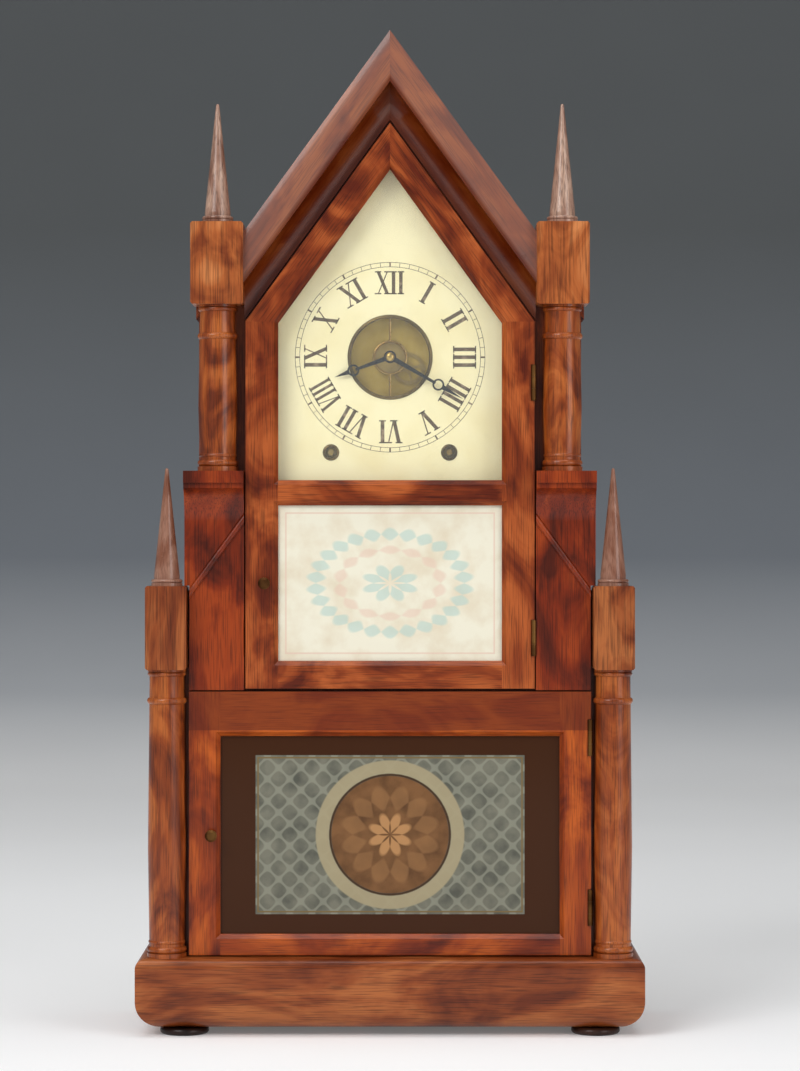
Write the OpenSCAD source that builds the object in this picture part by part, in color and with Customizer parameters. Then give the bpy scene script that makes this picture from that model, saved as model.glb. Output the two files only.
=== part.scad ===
// Double-steeple Gothic shelf clock, driven by a leaf spring in the bottom of its case.
// Millimetres. X to the viewer's right, front towards -Y, Z up, origin under the middle of the base.

/* [Case] */
// Overall height, floor to the point of the gable
case_h = 673; // [664:1:682]
// Slope of the gable and of the shoulders, degrees
pitch = 54; // [53.5:0.1:54.6]
// Half of the lower case's width
lower_half_w = 162; // [160:0.5:163.5]
// Height of the lower case's side wall above the base
lower_wall_h = 210; // [206:1:214]
// Width of each shoulder, between the sides of the two cases
shoulder_w = 33; // [31:0.5:34.5]
// Thickness of the side and roof boards
board_t = 7; // [5:0.5:9]
// Thickness of the backboards
back_t = 8; // [5:0.5:10]
// Thickness of the face frames behind the doors
frame_t = 10; // [8:0.5:11]
// Distance of the face frames' front behind the base's front
face_set = 31.5; // [31:0.25:33]

/* [Base] */
// How far the base moulding stands out beyond each side of the case
base_reveal = 8; // [6:0.5:13]
// Depth of the base moulding
base_d = 127; // [126:1:132]
// Height of the base moulding
base_h = 47; // [44:1:50]
// Width of each mitred base strip
strip_w = 48; // [44:1:52]
// Thickness of the bottom board
floor_t = 10; // [8:1:14]
// Height of the bun feet
foot_h = 5; // [4:0.5:8]
// Diameter of the bun feet
foot_dia = 33; // [28:1:36]

/* [Doors] */
// Width of the face frame seen beside the upper door
upper_face_w = 32; // [31.5:0.25:33]
// Width of the face frame seen beside the lower door
lower_face_w = 27; // [26.5:0.25:28]
// Thickness of both doors
door_t = 13.7; // [12:0.1:14.5]
// Width of the upper door's stiles
upper_stile_w = 21.8; // [19:0.1:23]
// Width of the upper door's raking rails, square to the slope
upper_rake_w = 18.2; // [16:0.1:20]
// Height of the bar between the dial glass and the middle tablet
bar_h = 17; // [13:0.5:19]
// Distance of the dial opening's sill below the dial's centre
dial_sill_drop = 83.4; // [81:0.2:88]
// Height of the upper door's bottom rail
upper_rail_h = 18.5; // [15:0.5:20]
// Height of the lower door
lower_door_h = 177; // [172:0.5:178]
// Width of the lower door's stiles
lower_stile_w = 21; // [18:0.5:24]
// Height of the lower door's bottom rail
lower_rail_h = 14; // [12:0.5:18]
// Height of the lower door's opening
lower_light_h = 133; // [125:1:138]
// Bevel round each opening
bevel = 3; // [1:0.5:4]
// Thickness of the glass
glass_t = 2; // [1.5:0.25:3]
// Width of the rebate that holds the glass
rebate_w = 4; // [3:0.5:6]
// Gap behind the doors and beside them
door_gap = 0.3; // [0.3:0.1:0.5]
// Gap between the two doors, one above the other
door_joint = 2; // [1.5:0.25:3]

/* [Columns and steeples] */
// Distance of the lower columns' axes inside the lower case's sides
lower_col_inset = 12.2; // [11.5:0.1:12.5]
// Diameter of the lower columns
lower_col_dia = 26.5; // [24:0.5:26.5]
// Height of the lower columns
lower_col_h = 193; // [188:1:198]
// Distance of the upper columns' axes inside the upper case's sides
upper_col_inset = 13.3; // [12.5:0.1:13.5]
// Diameter of the upper columns
upper_col_dia = 27; // [24:0.5:27]
// Drop from the eaves of the upper case to the top of the upper columns
upper_col_drop = 6; // [3:0.5:9]
// Height of the foot of the upper columns above the lower eaves
corbel_rise = 116; // [112:1:120]
// Width of the lower capitals
lower_cap_w = 27.4; // [26:0.2:27.4]
// Height of the lower capitals
lower_cap_h = 56; // [50:1:60]
// Width of the upper capitals
upper_cap_w = 35.2; // [33:0.2:35.2]
// Height of the upper capitals
upper_cap_h = 55; // [50:1:60]
// Diameter of the steeples at their foot
steeple_dia = 21; // [16:0.5:23]
// Height of the lower steeples
lower_steeple_h = 79; // [70:1:90]
// Height of the upper steeples
upper_steeple_h = 80; // [70:1:88]

/* [Gable moulding] */
// Width of the raised band, square to the slope
band_w = 20; // [17:0.5:21]
// Width of the cove inside the band, square to the slope
cove_w = 14; // [11:0.5:14]
// Height of the band in front of the face frame
band_front = 23; // [21:0.5:28]

/* [Dial] */
// Distance of the dial's centre below the point of the gable
dial_drop = 217.6; // [215:0.2:221]
// Diameter of the open centre
dial_hole_dia = 54; // [48:1:58]
// Thickness of the dial plate
dial_t = 1.5; // [1:0.25:2]
// Distance of the winding holes from the middle
wind_x = 40; // [38.5:0.5:41.5]
// Distance of the winding holes below the dial's centre
wind_drop = 64.4; // [63:0.2:66]
// Diameter of the winding holes in the dial
wind_hole_dia = 8.6; // [8:0.2:10]
// Length of the minute hand from its centre
minute_len = 57; // [50:1:62]
// Length of the hour hand from its centre
hour_len = 40; // [34:1:46]

/* [Movement] */
// Half of the plates' width
plate_half_w = 74; // [71:1:76]
// Thickness of the plates
plate_t = 2; // [1.5:0.25:2.5]
// Distance between the plates
plate_gap = 36; // [35.5:0.25:37]
// Diameter of the winding arbors
arbor_dia = 5; // [4:0.25:5.5]
// Running clearance of the arbors, on the radius
run_fit = 0.05; // [0.03:0.01:0.09]
// Diameter of the cord drums
drum_dia = 18; // [16:0.5:19]
// Height of the bob's centre above the sill behind the upper door
bob_rise = 52; // [47:1:58]
// Diameter of the bob
bob_dia = 38; // [30:1:44]
// Outer radius of the gong
gong_r = 42; // [36:1:43]
// Diameter of the gong wire
gong_wire = 2.4; // [1.8:0.2:3]

/* [Leaf spring and levers] */
// Number of leaves
leaf_count = 7; // [5:1:8]
// Thickness of a leaf
leaf_t = 1.5; // [1:0.1:1.8]
// Width of the leaves
leaf_w = 24; // [18:1:28]
// Distance of the longest leaf's ends inside the lever pivots
leaf_inset = 15; // [13:0.5:18]
// Radius to which the longest leaf is bent
leaf_bend_r = 160; // [155:1:170]
// Distance of the lever pivots inside the lower case's sides
lever_inset = 32; // [31:0.5:33]
// Height of the lever pivots above the base
lever_rise = 82; // [80:0.5:86]
// Angle of a wound lever above the level, degrees
lever_lift = 17; // [15:0.5:18]
// Diameter of the cords
cord_dia = 2; // [1.5:0.1:2.4]

/* [Hidden] */
$fn = 48;
wood = [0.52, 0.25, 0.13];
light_wood = [0.62, 0.34, 0.2];
dark_wood = [0.32, 0.14, 0.07];
inner_wood = [0.6, 0.45, 0.3];
brass = [0.72, 0.56, 0.26];
iron = [0.28, 0.28, 0.29];
cream = [0.97, 0.94, 0.8];
slope = tan(pitch);

// Widths that follow the lower case
upper_half_w = lower_half_w - shoulder_w;
base_w = 2 * (lower_half_w + base_reveal);
upper_door_half_w = upper_half_w - upper_face_w;
lower_door_half_w = lower_half_w - lower_face_w;
lower_col_x = lower_half_w - lower_col_inset;
upper_col_x = upper_half_w - upper_col_inset;

// Depths, front to back
front_y = -base_d / 2;
back_y = base_d / 2;
face_y = front_y + face_set;
frame_back_y = face_y + frame_t;
inner_back_y = back_y - back_t;
door_back_y = face_y - door_gap;
door_front_y = door_back_y - door_t;
col_y = door_front_y;
glass_y = door_front_y + 5;

// Heights of the case
base_top = foot_h + base_h;
lower_eave_z = base_top + lower_wall_h;
shoulder_apex = lower_eave_z + lower_half_w * slope;
board_vt = board_t / cos(pitch);
neck_z = shoulder_apex - upper_half_w * slope;
roof_over = 2;
roof_under = case_h - board_vt;
lower_inner_w = lower_half_w - board_t;
upper_inner_w = upper_half_w - board_t;

// Heights of the doors
lower_door_z = base_top + 1;
lower_light_z = lower_door_z + lower_rail_h;
lower_door_top = lower_door_z + lower_door_h;
upper_door_z = lower_door_top + door_joint;
moulding_w = band_w + cove_w;
moulding_apex = case_h - moulding_w / cos(pitch);
door_below_moulding = 3.2;
upper_door_apex = moulding_apex - door_below_moulding;
upper_door_eave = upper_door_apex - upper_door_half_w * slope;
dial_z = case_h - dial_drop;
middle_light_z = upper_door_z + upper_rail_h;
dial_light_z = dial_z - dial_sill_drop;
middle_light_h = dial_light_z - bar_h - middle_light_z;
upper_light_w = upper_door_half_w - upper_stile_w;
dial_light_apex = upper_door_apex - upper_rake_w / cos(pitch);
lower_light_w = lower_door_half_w - lower_stile_w;

// Openings of the face frames, which the doors lap
lap = 7;
upper_open_w = upper_door_half_w - lap;
upper_open_z = upper_door_z + 6;
upper_open_apex = upper_door_apex - lap / cos(pitch);
lower_open_w = lower_door_half_w - 10;
lower_open_z = lower_door_z + 5;
lower_open_top = lower_door_top - 5;

// Columns, corbels and capitals
panel_in = upper_door_half_w + 1;
panel_out = lower_door_half_w - 0.3;
corbel_top = lower_eave_z + corbel_rise;
corbel_out = panel_out + 3.3;
cap_depth = 30;
upper_cap_z = case_h - upper_half_w * slope - upper_col_drop;
upper_col_h = upper_cap_z - corbel_top;
lower_cap_z = base_top + lower_col_h;
lower_cap_top = lower_cap_z + lower_cap_h;
upper_cap_top = upper_cap_z + upper_cap_h;
cap_in_x = upper_col_x - upper_cap_w / 2;

// Hinges and catches
hinge_len = 24;
hinge_r = 1.7;
hinge_pin_r = 0.7;
hinge_inset = 0.5;
leaf_plate_t = 0.7;
leaf_seat_t = 1.2;
knuckle_half = hinge_len / 6;
upper_hinge_zs = [upper_door_z + 34, upper_door_eave - 41];
lower_hinge_zs = [lower_door_z + 32, lower_door_top - 31];
catch_r = 1.8;
catch_z_upper = middle_light_z + middle_light_h / 2;
catch_z_lower = lower_light_z + lower_light_h / 2;
catch_x_upper = -(upper_open_w - 5.5);
catch_x_lower = -(lower_open_w - 5);

// Movement planes
plate_front_y = face_y + 14;
plate_in_front = plate_front_y + plate_t;
plate_in_back = plate_in_front + plate_gap;
plate_back_y = plate_in_back + plate_t;
dial_y = face_y + 3;
dial_back_y = dial_y + dial_t;
power_y = plate_in_front + 24;

// Arbor places, as [x, z]
center_at = [0, dial_z];
wind_at = [wind_x, dial_z - wind_drop];
main_teeth = 72;
second_teeth = 60;
low_leaves = 8;
center_leaves = 12;
great_module = norm(center_at - wind_at) / 75.7;
main_to_second = great_module * (main_teeth + low_leaves) / 2;
second_to_center = great_module * (second_teeth + center_leaves) / 2;
second_at = meet(wind_at, center_at, main_to_second, second_to_center);
center_teeth = 64;
third_teeth = 72;
high_leaves = 6;
center_module = 0.75;
third_module = 0.6;
third_at = center_at + polar(center_module * (center_teeth + high_leaves) / 2, 65);
third_to_escape = third_module * (third_teeth + high_leaves) / 2;
escape_at = [0, third_at[1] + sqrt(pow(third_to_escape, 2) - pow(third_at[0], 2))];
escape_r = 17;
escape_teeth = 30;
verge_at = [0, escape_at[1] + escape_r + 4.2];
strike_wind_at = [-wind_at[0], wind_at[1]];
pin_wheel_at = [-second_at[0], second_at[1]];
pin_teeth = 60;
warning_teeth = 54;
warning_at = pin_wheel_at + polar(center_module * (pin_teeth + high_leaves) / 2, 125);
fly_at = warning_at + polar(third_module * (warning_teeth + high_leaves) / 2, 100);
hammer_rise = 9;
plate_bottom = wind_at[1] - 39;
plate_top = verge_at[1] + 12;
plate_edge_t = 8;
plate_corner = 24;
notch_r = 9;
notch_in = 14;
pillar_inset = 7;
hammer_at = [0, plate_bottom + hammer_rise];
post_in_x = plate_half_w - plate_edge_t;
post_w = 14;
post_drop = 20;
minute_leaves = 12;
minute_teeth = 36;
hour_leaves = 10;
hour_teeth = 40;
motion_d = 14.4;
minute_module = motion_d * 2 / (minute_leaves + minute_teeth);
hour_module = motion_d * 2 / (hour_leaves + hour_teeth);
minute_wheel_at = center_at + polar(motion_d, -30);
arbor_r = arbor_dia / 2;
drum_r = drum_dia / 2;
pivot_r = 1.5;
fine_pivot_r = 0.9;
verge_r = 1.1;
hammer_r = 1.3;
stud_r = 1;
pipe_r = 2.4;
end_shake = 0.5;
collet_gap = 0.8;
pendulum_y = plate_front_y - 6.2;
bob_z = upper_open_z + bob_rise;
gong_at = [0, bob_z + 6];
gong_y = inner_back_y - 14;
gong_turns = 4;
gong_step = 5.5;

// Leaf spring, levers and cords
bed_h = 12;
leaf_pitch = leaf_t + 0.2;
leaf_step = 0.115;
stack_h = leaf_count * leaf_pitch;
leaf_z = base_top + bed_h + stack_h;
spring_y = power_y;
lever_x = lower_half_w - lever_inset;
lever_z = base_top + lever_rise;
lever_at = [lever_x, lever_z];
leaf_half_span = lever_x - leaf_inset;
lever_pin_r = 2.5;
lug_half = leaf_w / 2 + 7;
lug_r = 7;
lever_foot = 16;
hook_r = 1.8;
cord_swing = 3.2;
hook_angle = asin(leaf_half_span / leaf_bend_r) - 2.4;
hook_at = [0, leaf_z + leaf_bend_r]
    + (leaf_bend_r + leaf_t + 0.3 + hook_r) * [sin(hook_angle), -cos(hook_angle)];
cord_x = wind_x + drum_r + cord_dia / 2 + 0.3;
lever_len = (lever_x - cord_x - cord_swing) / cos(lever_lift);
lever_tip = [lever_x - lever_len * cos(lever_lift), lever_z + lever_len * sin(lever_lift)];
cord_travel = 2 * lever_len * sin(lever_lift);
cord_low_z = lever_tip[1] - 9;

// The hands stand at twenty past eight
minute_angle = 120;
hour_angle = 250;

function polar(r, a) = [r * cos(a), r * sin(a)];

// The corner above the line a-b at ra from a and rb from b
function meet(a, b, ra, rb) =
    let (d = norm(b - a), along = (ra * ra - rb * rb + d * d) / (2 * d),
        off = sqrt(max(0, ra * ra - along * along)), dir = (b - a) / d)
    a + dir * along + [dir[1], -dir[0]] * off;

function bearing(a, b) = atan2(b[1] - a[1], b[0] - a[0]);

// A gabled outline: straight sides of half width w from z to the rake under apex
function gable(w, z, apex) = [[-w, z], [w, z], [w, apex - w * slope], [0, apex], [-w, apex - w * slope]];

// Draws the XZ shape of its children from y0 back to y1
module slab(y0, y1) {
    rotate([90, 0, 0]) translate([0, 0, -y1]) linear_extrude(y1 - y0) children();
}

// Draws the YZ shape of its children from x0 to x1
module along_x(x0, x1) {
    translate([x0, 0, 0]) rotate([90, 0, 90]) linear_extrude(x1 - x0) children();
}

// A rod along Y at p, and a bore cutter for it
module rod_y(p, r, y0, y1) {
    slab(y0, y1) translate(p) circle(r);
}

module both_sides() {
    children();
    mirror([1, 0, 0]) children();
}

module box(lo, hi) {
    translate(lo) cube(hi - lo);
}

// Base: mitred strips with a quarter round above and a deep round below
module base_section() {
    top_r = 6;
    low_r = base_h * 0.4;
    difference() {
        translate([0, foot_h]) square([strip_w, base_h]);
        difference() {
            translate([strip_w - low_r, foot_h - 1]) square([low_r + 1, low_r + 1]);
            translate([strip_w - low_r, foot_h + low_r]) circle(low_r);
        }
        difference() {
            translate([strip_w - top_r, base_top - top_r]) square([top_r + 1, top_r + 1]);
            translate([strip_w - top_r, base_top - top_r]) circle(top_r);
        }
    }
}

module base_moulding() {
    hw = base_w / 2;
    in_x = hw - strip_w;
    in_y = front_y + strip_w;
    color(wood) intersection() {
        along_x(-hw, hw) translate([in_y, 0]) mirror([1, 0]) base_section();
        linear_extrude(base_top + 1) polygon([[-hw, front_y], [hw, front_y], [in_x, in_y], [-in_x, in_y]]);
    }
    color(wood) both_sides() intersection() {
        slab(front_y, back_y) translate([in_x, 0]) base_section();
        linear_extrude(base_top + 1) polygon([[hw, front_y], [hw, back_y], [in_x, back_y], [in_x, in_y]]);
    }
}

module bun_feet() {
    x = base_w / 2 - strip_w * 0.66;
    y = base_d / 2 - strip_w * 0.5;
    color(dark_wood) for (sx = [-1, 1], sy = [-1, 1])
        translate([sx * x, sy * y, 0]) rotate_extrude() intersection() {
            square([foot_dia / 2, foot_h]);
            union() {
                square([foot_dia / 2 - foot_h / 2, foot_h]);
                translate([foot_dia / 2 - foot_h / 2, foot_h / 2]) circle(foot_h / 2);
            }
        }
}

module bottom_board() {
    color(inner_wood) box([-base_w / 2 + strip_w, front_y + strip_w, base_top - floor_t],
        [base_w / 2 - strip_w, back_y, base_top]);
}

module lower_case_sides() {
    under = lower_eave_z - board_vt;
    color(wood) both_sides() slab(frame_back_y, inner_back_y)
        polygon([[lower_inner_w, base_top], [lower_half_w, base_top], [lower_half_w, under],
            [lower_inner_w, under + board_t * slope]]);
}

module lower_face_frame() {
    color(wood) slab(face_y, frame_back_y) difference() {
        polygon([[-lower_half_w, base_top], [lower_half_w, base_top], [lower_half_w, lower_eave_z],
            [upper_half_w, neck_z], [-upper_half_w, neck_z], [-lower_half_w, lower_eave_z]]);
        translate([-lower_open_w, lower_open_z]) square([2 * lower_open_w, lower_open_top - lower_open_z]);
        translate([-upper_open_w, upper_open_z]) square([2 * upper_open_w, neck_z]);
    }
}

module shoulder_boards() {
    color(wood) both_sides() slab(frame_back_y, inner_back_y)
        polygon([[lower_half_w, lower_eave_z - board_vt], [lower_half_w, lower_eave_z],
            [upper_inner_w, shoulder_apex - upper_inner_w * slope],
            [upper_inner_w, shoulder_apex - upper_inner_w * slope - board_vt]]);
}

module upper_case_sides() {
    color(wood) both_sides() slab(frame_back_y, inner_back_y)
        polygon([[upper_inner_w, neck_z + board_t * slope], [upper_half_w, neck_z],
            [upper_half_w, roof_under - upper_half_w * slope],
            [upper_inner_w, roof_under - upper_inner_w * slope]]);
}

module roof_boards() {
    w = upper_half_w + roof_over;
    color(wood) both_sides() slab(face_y, back_y)
        polygon([[0, roof_under], [0, case_h], [w, case_h - w * slope], [w, roof_under - w * slope]]);
}

module upper_face_frame() {
    color(wood) slab(face_y, frame_back_y) difference() {
        polygon(gable(upper_half_w, neck_z, roof_under));
        polygon(gable(upper_open_w, neck_z - 1, upper_open_apex));
    }
}

// Gable moulding: a crowned band outside a hollow cove, mitred at the point
module rake_profile() {
    intersection() {
        translate([0, -band_front]) square([band_w, band_front]);
        translate([band_w / 2, -band_front + 2 * band_w]) circle(2 * band_w, $fn = 96);
    }
    difference() {
        translate([band_w - 0.5, -band_front + 3]) square([cove_w + 0.5, band_front - 3]);
        translate([moulding_w, -band_front + 3]) circle(cove_w);
    }
}

module gable_moulding() {
    run = cap_in_x / cos(pitch) + moulding_w * slope;
    color(light_wood) both_sides() intersection() {
        translate([0, face_y, case_h]) rotate([0, 90 + pitch, 0])
            translate([0, 0, -moulding_w * slope])
                linear_extrude(run + 2 * moulding_w * slope) rake_profile();
        box([0, face_y - band_front - 1, 0], [cap_in_x, face_y, case_h + 1]);
    }
}

module lower_backboard() {
    color(inner_wood) slab(inner_back_y, back_y)
        polygon([[-lower_half_w, base_top], [lower_half_w, base_top], [lower_half_w, lower_eave_z],
            [upper_half_w, neck_z], [-upper_half_w, neck_z], [-lower_half_w, lower_eave_z]]);
}

module upper_backboard() {
    color(inner_wood) slab(inner_back_y, back_y) polygon(gable(upper_half_w, neck_z, roof_under));
}

// Raked panels beside the upper door, each with a bead along its top
module shoulder_panels() {
    z0 = lower_door_top + door_joint / 2;
    bead_r = 2.2;
    top_in = shoulder_apex - panel_in * slope;
    top_out = shoulder_apex - panel_out * slope;
    color(wood) both_sides() difference() {
        union() {
            slab(door_front_y, face_y)
                polygon([[panel_in, z0], [panel_out, z0], [panel_out, top_out], [panel_in, top_in]]);
            intersection() {
                translate([0, door_front_y, shoulder_apex]) rotate([0, 90 + pitch, 0])
                    translate([bead_r, 0, 0]) cylinder(r = bead_r, h = 2 * lower_half_w);
                box([panel_in, door_front_y - bead_r - 1, z0], [panel_out, face_y, corbel_top]);
            }
        }
        hinge_room(upper_door_half_w, upper_hinge_zs);
    }
}

// Corbels: a plate that carries the column over a hollow sweep, cut to the rake below
module corbel_section() {
    plate = 8;
    sweep_r = 25;
    foot_y = door_front_y - 1;
    sweep_z = corbel_top - plate - sweep_r;
    plate_y = col_y - cap_depth / 2 - 0.3;
    translate([plate_y, corbel_top - plate]) square([face_y - plate_y, plate]);
    translate([foot_y, lower_eave_z]) square([face_y - foot_y, corbel_top - lower_eave_z - 1]);
    difference() {
        translate([plate_y + 2, sweep_z]) square([face_y - plate_y - 2, sweep_r + 1]);
        translate([foot_y - sweep_r, sweep_z]) circle(sweep_r, $fn = 96);
    }
}

module column_corbels() {
    color(dark_wood) both_sides() intersection() {
        along_x(panel_in, corbel_out) corbel_section();
        slab(front_y, face_y) polygon([[panel_in, shoulder_apex - panel_in * slope],
            [panel_out, shoulder_apex - panel_out * slope], [panel_out, lower_cap_top + 0.2],
            [corbel_out, lower_cap_top + 0.2], [corbel_out, corbel_top + 1], [panel_in, corbel_top + 1]]);
    }
}

// A turned column: rings at foot and neck, and a shaft that swells a little
module column(h, dia) {
    r = dia / 2;
    ring_r = 2.4;
    foot = 12;
    rotate_extrude() {
        square([r, 3]);
        square([r - ring_r, foot]);
        translate([r - ring_r, 3 + ring_r]) circle(ring_r);
        translate([r - ring_r, foot - 1.5]) circle(1.5);
        polygon([[0, 0], [r - 1.4, 0], [r - 1.4, foot], [r - 0.5, h * 0.38],
            [r - 1.6, h - 10], [r - 1.6, h], [0, h]]);
        translate([r - ring_r, h - 21]) circle(ring_r);
        translate([r - 2, h - 3]) circle(1.6);
        translate([0, h - 1.5]) square([r - 0.4, 1.5]);
    }
}

module lower_columns() {
    color(light_wood) both_sides() translate([lower_col_x, col_y, base_top])
        column(lower_col_h, lower_col_dia);
}

module upper_columns() {
    color(light_wood) both_sides() translate([upper_col_x, col_y, corbel_top])
        column(upper_col_h, upper_col_dia);
}

// A square block with bevelled edges
module capital(w, h) {
    c = 1.2;
    cut = [[c, 0], [w - c, 0], [w, c], [w, h - c], [w - c, h], [c, h], [0, h - c], [0, c]];
    intersection() {
        slab(-cap_depth / 2, face_y - col_y) translate([-w / 2, 0]) polygon(cut);
        linear_extrude(h) polygon([[-w / 2 + c, -cap_depth / 2],
            [w / 2 - c, -cap_depth / 2], [w / 2, -cap_depth / 2 + c], [w / 2, face_y - col_y],
            [-w / 2, face_y - col_y], [-w / 2, -cap_depth / 2 + c]]);
    }
}

module lower_capitals() {
    color(light_wood) both_sides() translate([lower_col_x, col_y, lower_cap_z])
        capital(lower_cap_w, lower_cap_h);
}

module upper_capitals() {
    color(light_wood) both_sides() translate([upper_col_x, col_y, upper_cap_z])
        capital(upper_cap_w, upper_cap_h);
}

// A turned steeple: a ring, a cove and a long cone with a blunt point
module steeple(h) {
    r = steeple_dia / 2;
    tip = 1.1;
    rotate_extrude() {
        square([r, 2]);
        translate([r - 1.3, 3.2]) circle(1.3);
        square([r - 1.3, 4.5]);
        polygon([[0, 4], [r - 1.9, 4], [r - 1.9, 7], [tip, h - tip], [0, h - tip]]);
        intersection() {
            translate([0, h - tip]) circle(tip);
            translate([0, h - tip]) square(tip);
        }
    }
}

module steeples() {
    color(wood) both_sides() {
        translate([lower_col_x, col_y, lower_cap_top]) steeple(lower_steeple_h);
        translate([upper_col_x, col_y, upper_cap_top]) steeple(upper_steeple_h);
    }
}

// Butt hinges: the case half carries the pin, the door half turns on it
module hinge_barrel(x, z, lo, hi, r) {
    translate([x - hinge_inset, door_front_y - hinge_inset, z + lo]) cylinder(r = r, h = hi - lo);
}

module case_hinge(x, z) {
    gap = 0.2;
    hinge_barrel(x, z, -hinge_len / 2, hinge_len / 2, hinge_pin_r);
    for (s = [[-hinge_len / 2, -knuckle_half - gap], [knuckle_half + gap, hinge_len / 2]]) {
        hinge_barrel(x, z, s[0], s[1], hinge_r);
        box([x + 0.15, door_front_y - hinge_inset, z + s[0]], [x + 0.15 + leaf_plate_t, face_y, z + s[1]]);
    }
}

module door_hinge(x, z) {
    difference() {
        union() {
            hinge_barrel(x, z, -knuckle_half, knuckle_half, hinge_r);
            hinge_seat(x, z, 0);
        }
        hinge_barrel(x, z, -hinge_len, hinge_len, hinge_pin_r + run_fit);
    }
}

// The door half's leaf, let into the edge of the stile, and with ease around it the seat cut for it
module hinge_seat(x, z, ease) {
    box([x - leaf_seat_t, door_front_y - ease, z - knuckle_half],
        [x + ease, door_back_y - 2, z + knuckle_half]);
}

// What is cut away round the hinges on a door's edge
module hinge_room(x, zs) {
    for (z = zs) hinge_barrel(x, z, -hinge_len / 2 - 0.3, hinge_len / 2 + 0.3, hinge_r + 0.3);
}

module case_hinge_leaves() {
    color(brass) {
        for (z = upper_hinge_zs) case_hinge(upper_door_half_w, z);
        for (z = lower_hinge_zs) case_hinge(lower_door_half_w, z);
    }
}

// A light in a door: the opening, its front bevel and the rebate for the glass
module light_cut(inner, outer, seat) {
    slab(front_y, face_y) polygon(inner);
    slab(glass_y, face_y) polygon(seat);
    hull() {
        slab(door_front_y - 0.01, door_front_y) polygon(outer);
        slab(door_front_y + bevel, door_front_y + bevel + 0.01) polygon(inner);
    }
}

function rect(w, z0, z1) = [[-w, z0], [w, z0], [w, z1], [-w, z1]];

module upper_door_frame() {
    grow = 1 / cos(pitch);
    sunk = rebate_w + door_gap;
    color(wood) difference() {
        slab(door_front_y, door_back_y) polygon(gable(upper_door_half_w, upper_door_z, upper_door_apex));
        light_cut(gable(upper_light_w, dial_light_z, dial_light_apex),
            gable(upper_light_w + bevel, dial_light_z - bevel, dial_light_apex + bevel * grow),
            gable(upper_light_w + sunk, dial_light_z - sunk, dial_light_apex + sunk * grow));
        light_cut(rect(upper_light_w, middle_light_z, middle_light_z + middle_light_h),
            rect(upper_light_w + bevel, middle_light_z - bevel, middle_light_z + middle_light_h + bevel),
            rect(upper_light_w + sunk, middle_light_z - sunk, middle_light_z + middle_light_h + sunk));
        hinge_room(upper_door_half_w, upper_hinge_zs);
        for (z = upper_hinge_zs) hinge_seat(upper_door_half_w, z, 1);
        rod_y([catch_x_upper, catch_z_upper], catch_r + run_fit, front_y, face_y);
    }
}

module upper_door_hinge_leaves() {
    color(brass) for (z = upper_hinge_zs) door_hinge(upper_door_half_w, z);
}

module dial_glass() {
    grow = 1 / cos(pitch);
    color([0.8, 0.9, 0.9, 0.4]) slab(glass_y, glass_y + glass_t)
        polygon(gable(upper_light_w + rebate_w, dial_light_z - rebate_w, dial_light_apex + rebate_w * grow));
}

module middle_tablet() {
    color(cream) slab(glass_y, glass_y + glass_t)
        polygon(rect(upper_light_w + rebate_w, middle_light_z - rebate_w,
            middle_light_z + middle_light_h + rebate_w));
}

// A turn catch: a small knob, a shaft through the stile and a tongue behind the face frame
module catch(x, z, tongue) {
    rod_y([x, z], catch_r, door_front_y - 2, frame_back_y + 3);
    translate([x, door_front_y - door_gap, z]) rotate([90, 0, 0]) rotate_extrude() {
        square([2.6, 1]);
        square([2, 3]);
        translate([0, 3]) polygon([[0, 0], [2.4, 0], [4, 1.4], [4, 2.4], [2.6, 3.6], [0, 3.9]]);
    }
    slab(frame_back_y + 0.8, frame_back_y + 2.8) {
        translate([x, z]) circle(3.5);
        translate([x - 2.2, z]) square([4.4, tongue]);
        translate([x, z + tongue]) circle(2.2);
    }
}

module upper_door_catch() {
    color(brass) catch(catch_x_upper, catch_z_upper, 10);
}

module lower_door_frame() {
    sunk = rebate_w + door_gap;
    top = lower_light_z + lower_light_h;
    color(wood) difference() {
        slab(door_front_y, door_back_y) polygon(rect(lower_door_half_w, lower_door_z, lower_door_top));
        light_cut(rect(lower_light_w, lower_light_z, top),
            rect(lower_light_w + bevel, lower_light_z - bevel, top + bevel),
            rect(lower_light_w + sunk, lower_light_z - sunk, top + sunk));
        hinge_room(lower_door_half_w, lower_hinge_zs);
        for (z = lower_hinge_zs) hinge_seat(lower_door_half_w, z, 1);
        rod_y([catch_x_lower, catch_z_lower], catch_r + run_fit, front_y, face_y);
    }
}

module lower_door_hinge_leaves() {
    color(brass) for (z = lower_hinge_zs) door_hinge(lower_door_half_w, z);
}

module lower_tablet() {
    color([0.45, 0.5, 0.42]) slab(glass_y, glass_y + glass_t)
        polygon(rect(lower_light_w + rebate_w, lower_light_z - rebate_w,
            lower_light_z + lower_light_h + rebate_w));
}

module lower_door_catch() {
    color(brass) catch(catch_x_lower, catch_z_lower, 11);
}

// Dial: a painted plate with an open centre and two winding holes
module dial_plate() {
    gap = 0.3;
    color(cream) slab(dial_y, dial_back_y) difference() {
        polygon(gable(upper_open_w - gap, dial_light_z - 8, upper_open_apex - gap / cos(pitch)));
        translate(center_at) circle(dial_hole_dia / 2, $fn = 96);
        for (s = [-1, 1]) translate([s * wind_at[0], wind_at[1]]) circle(wind_hole_dia / 2);
    }
}

module dial_rails() {
    color(inner_wood) both_sides()
        box([upper_open_w - 10, dial_back_y, dial_light_z - 5],
            [upper_open_w, plate_front_y - 1, upper_open_apex - upper_open_w * slope - 4]);
}

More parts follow.
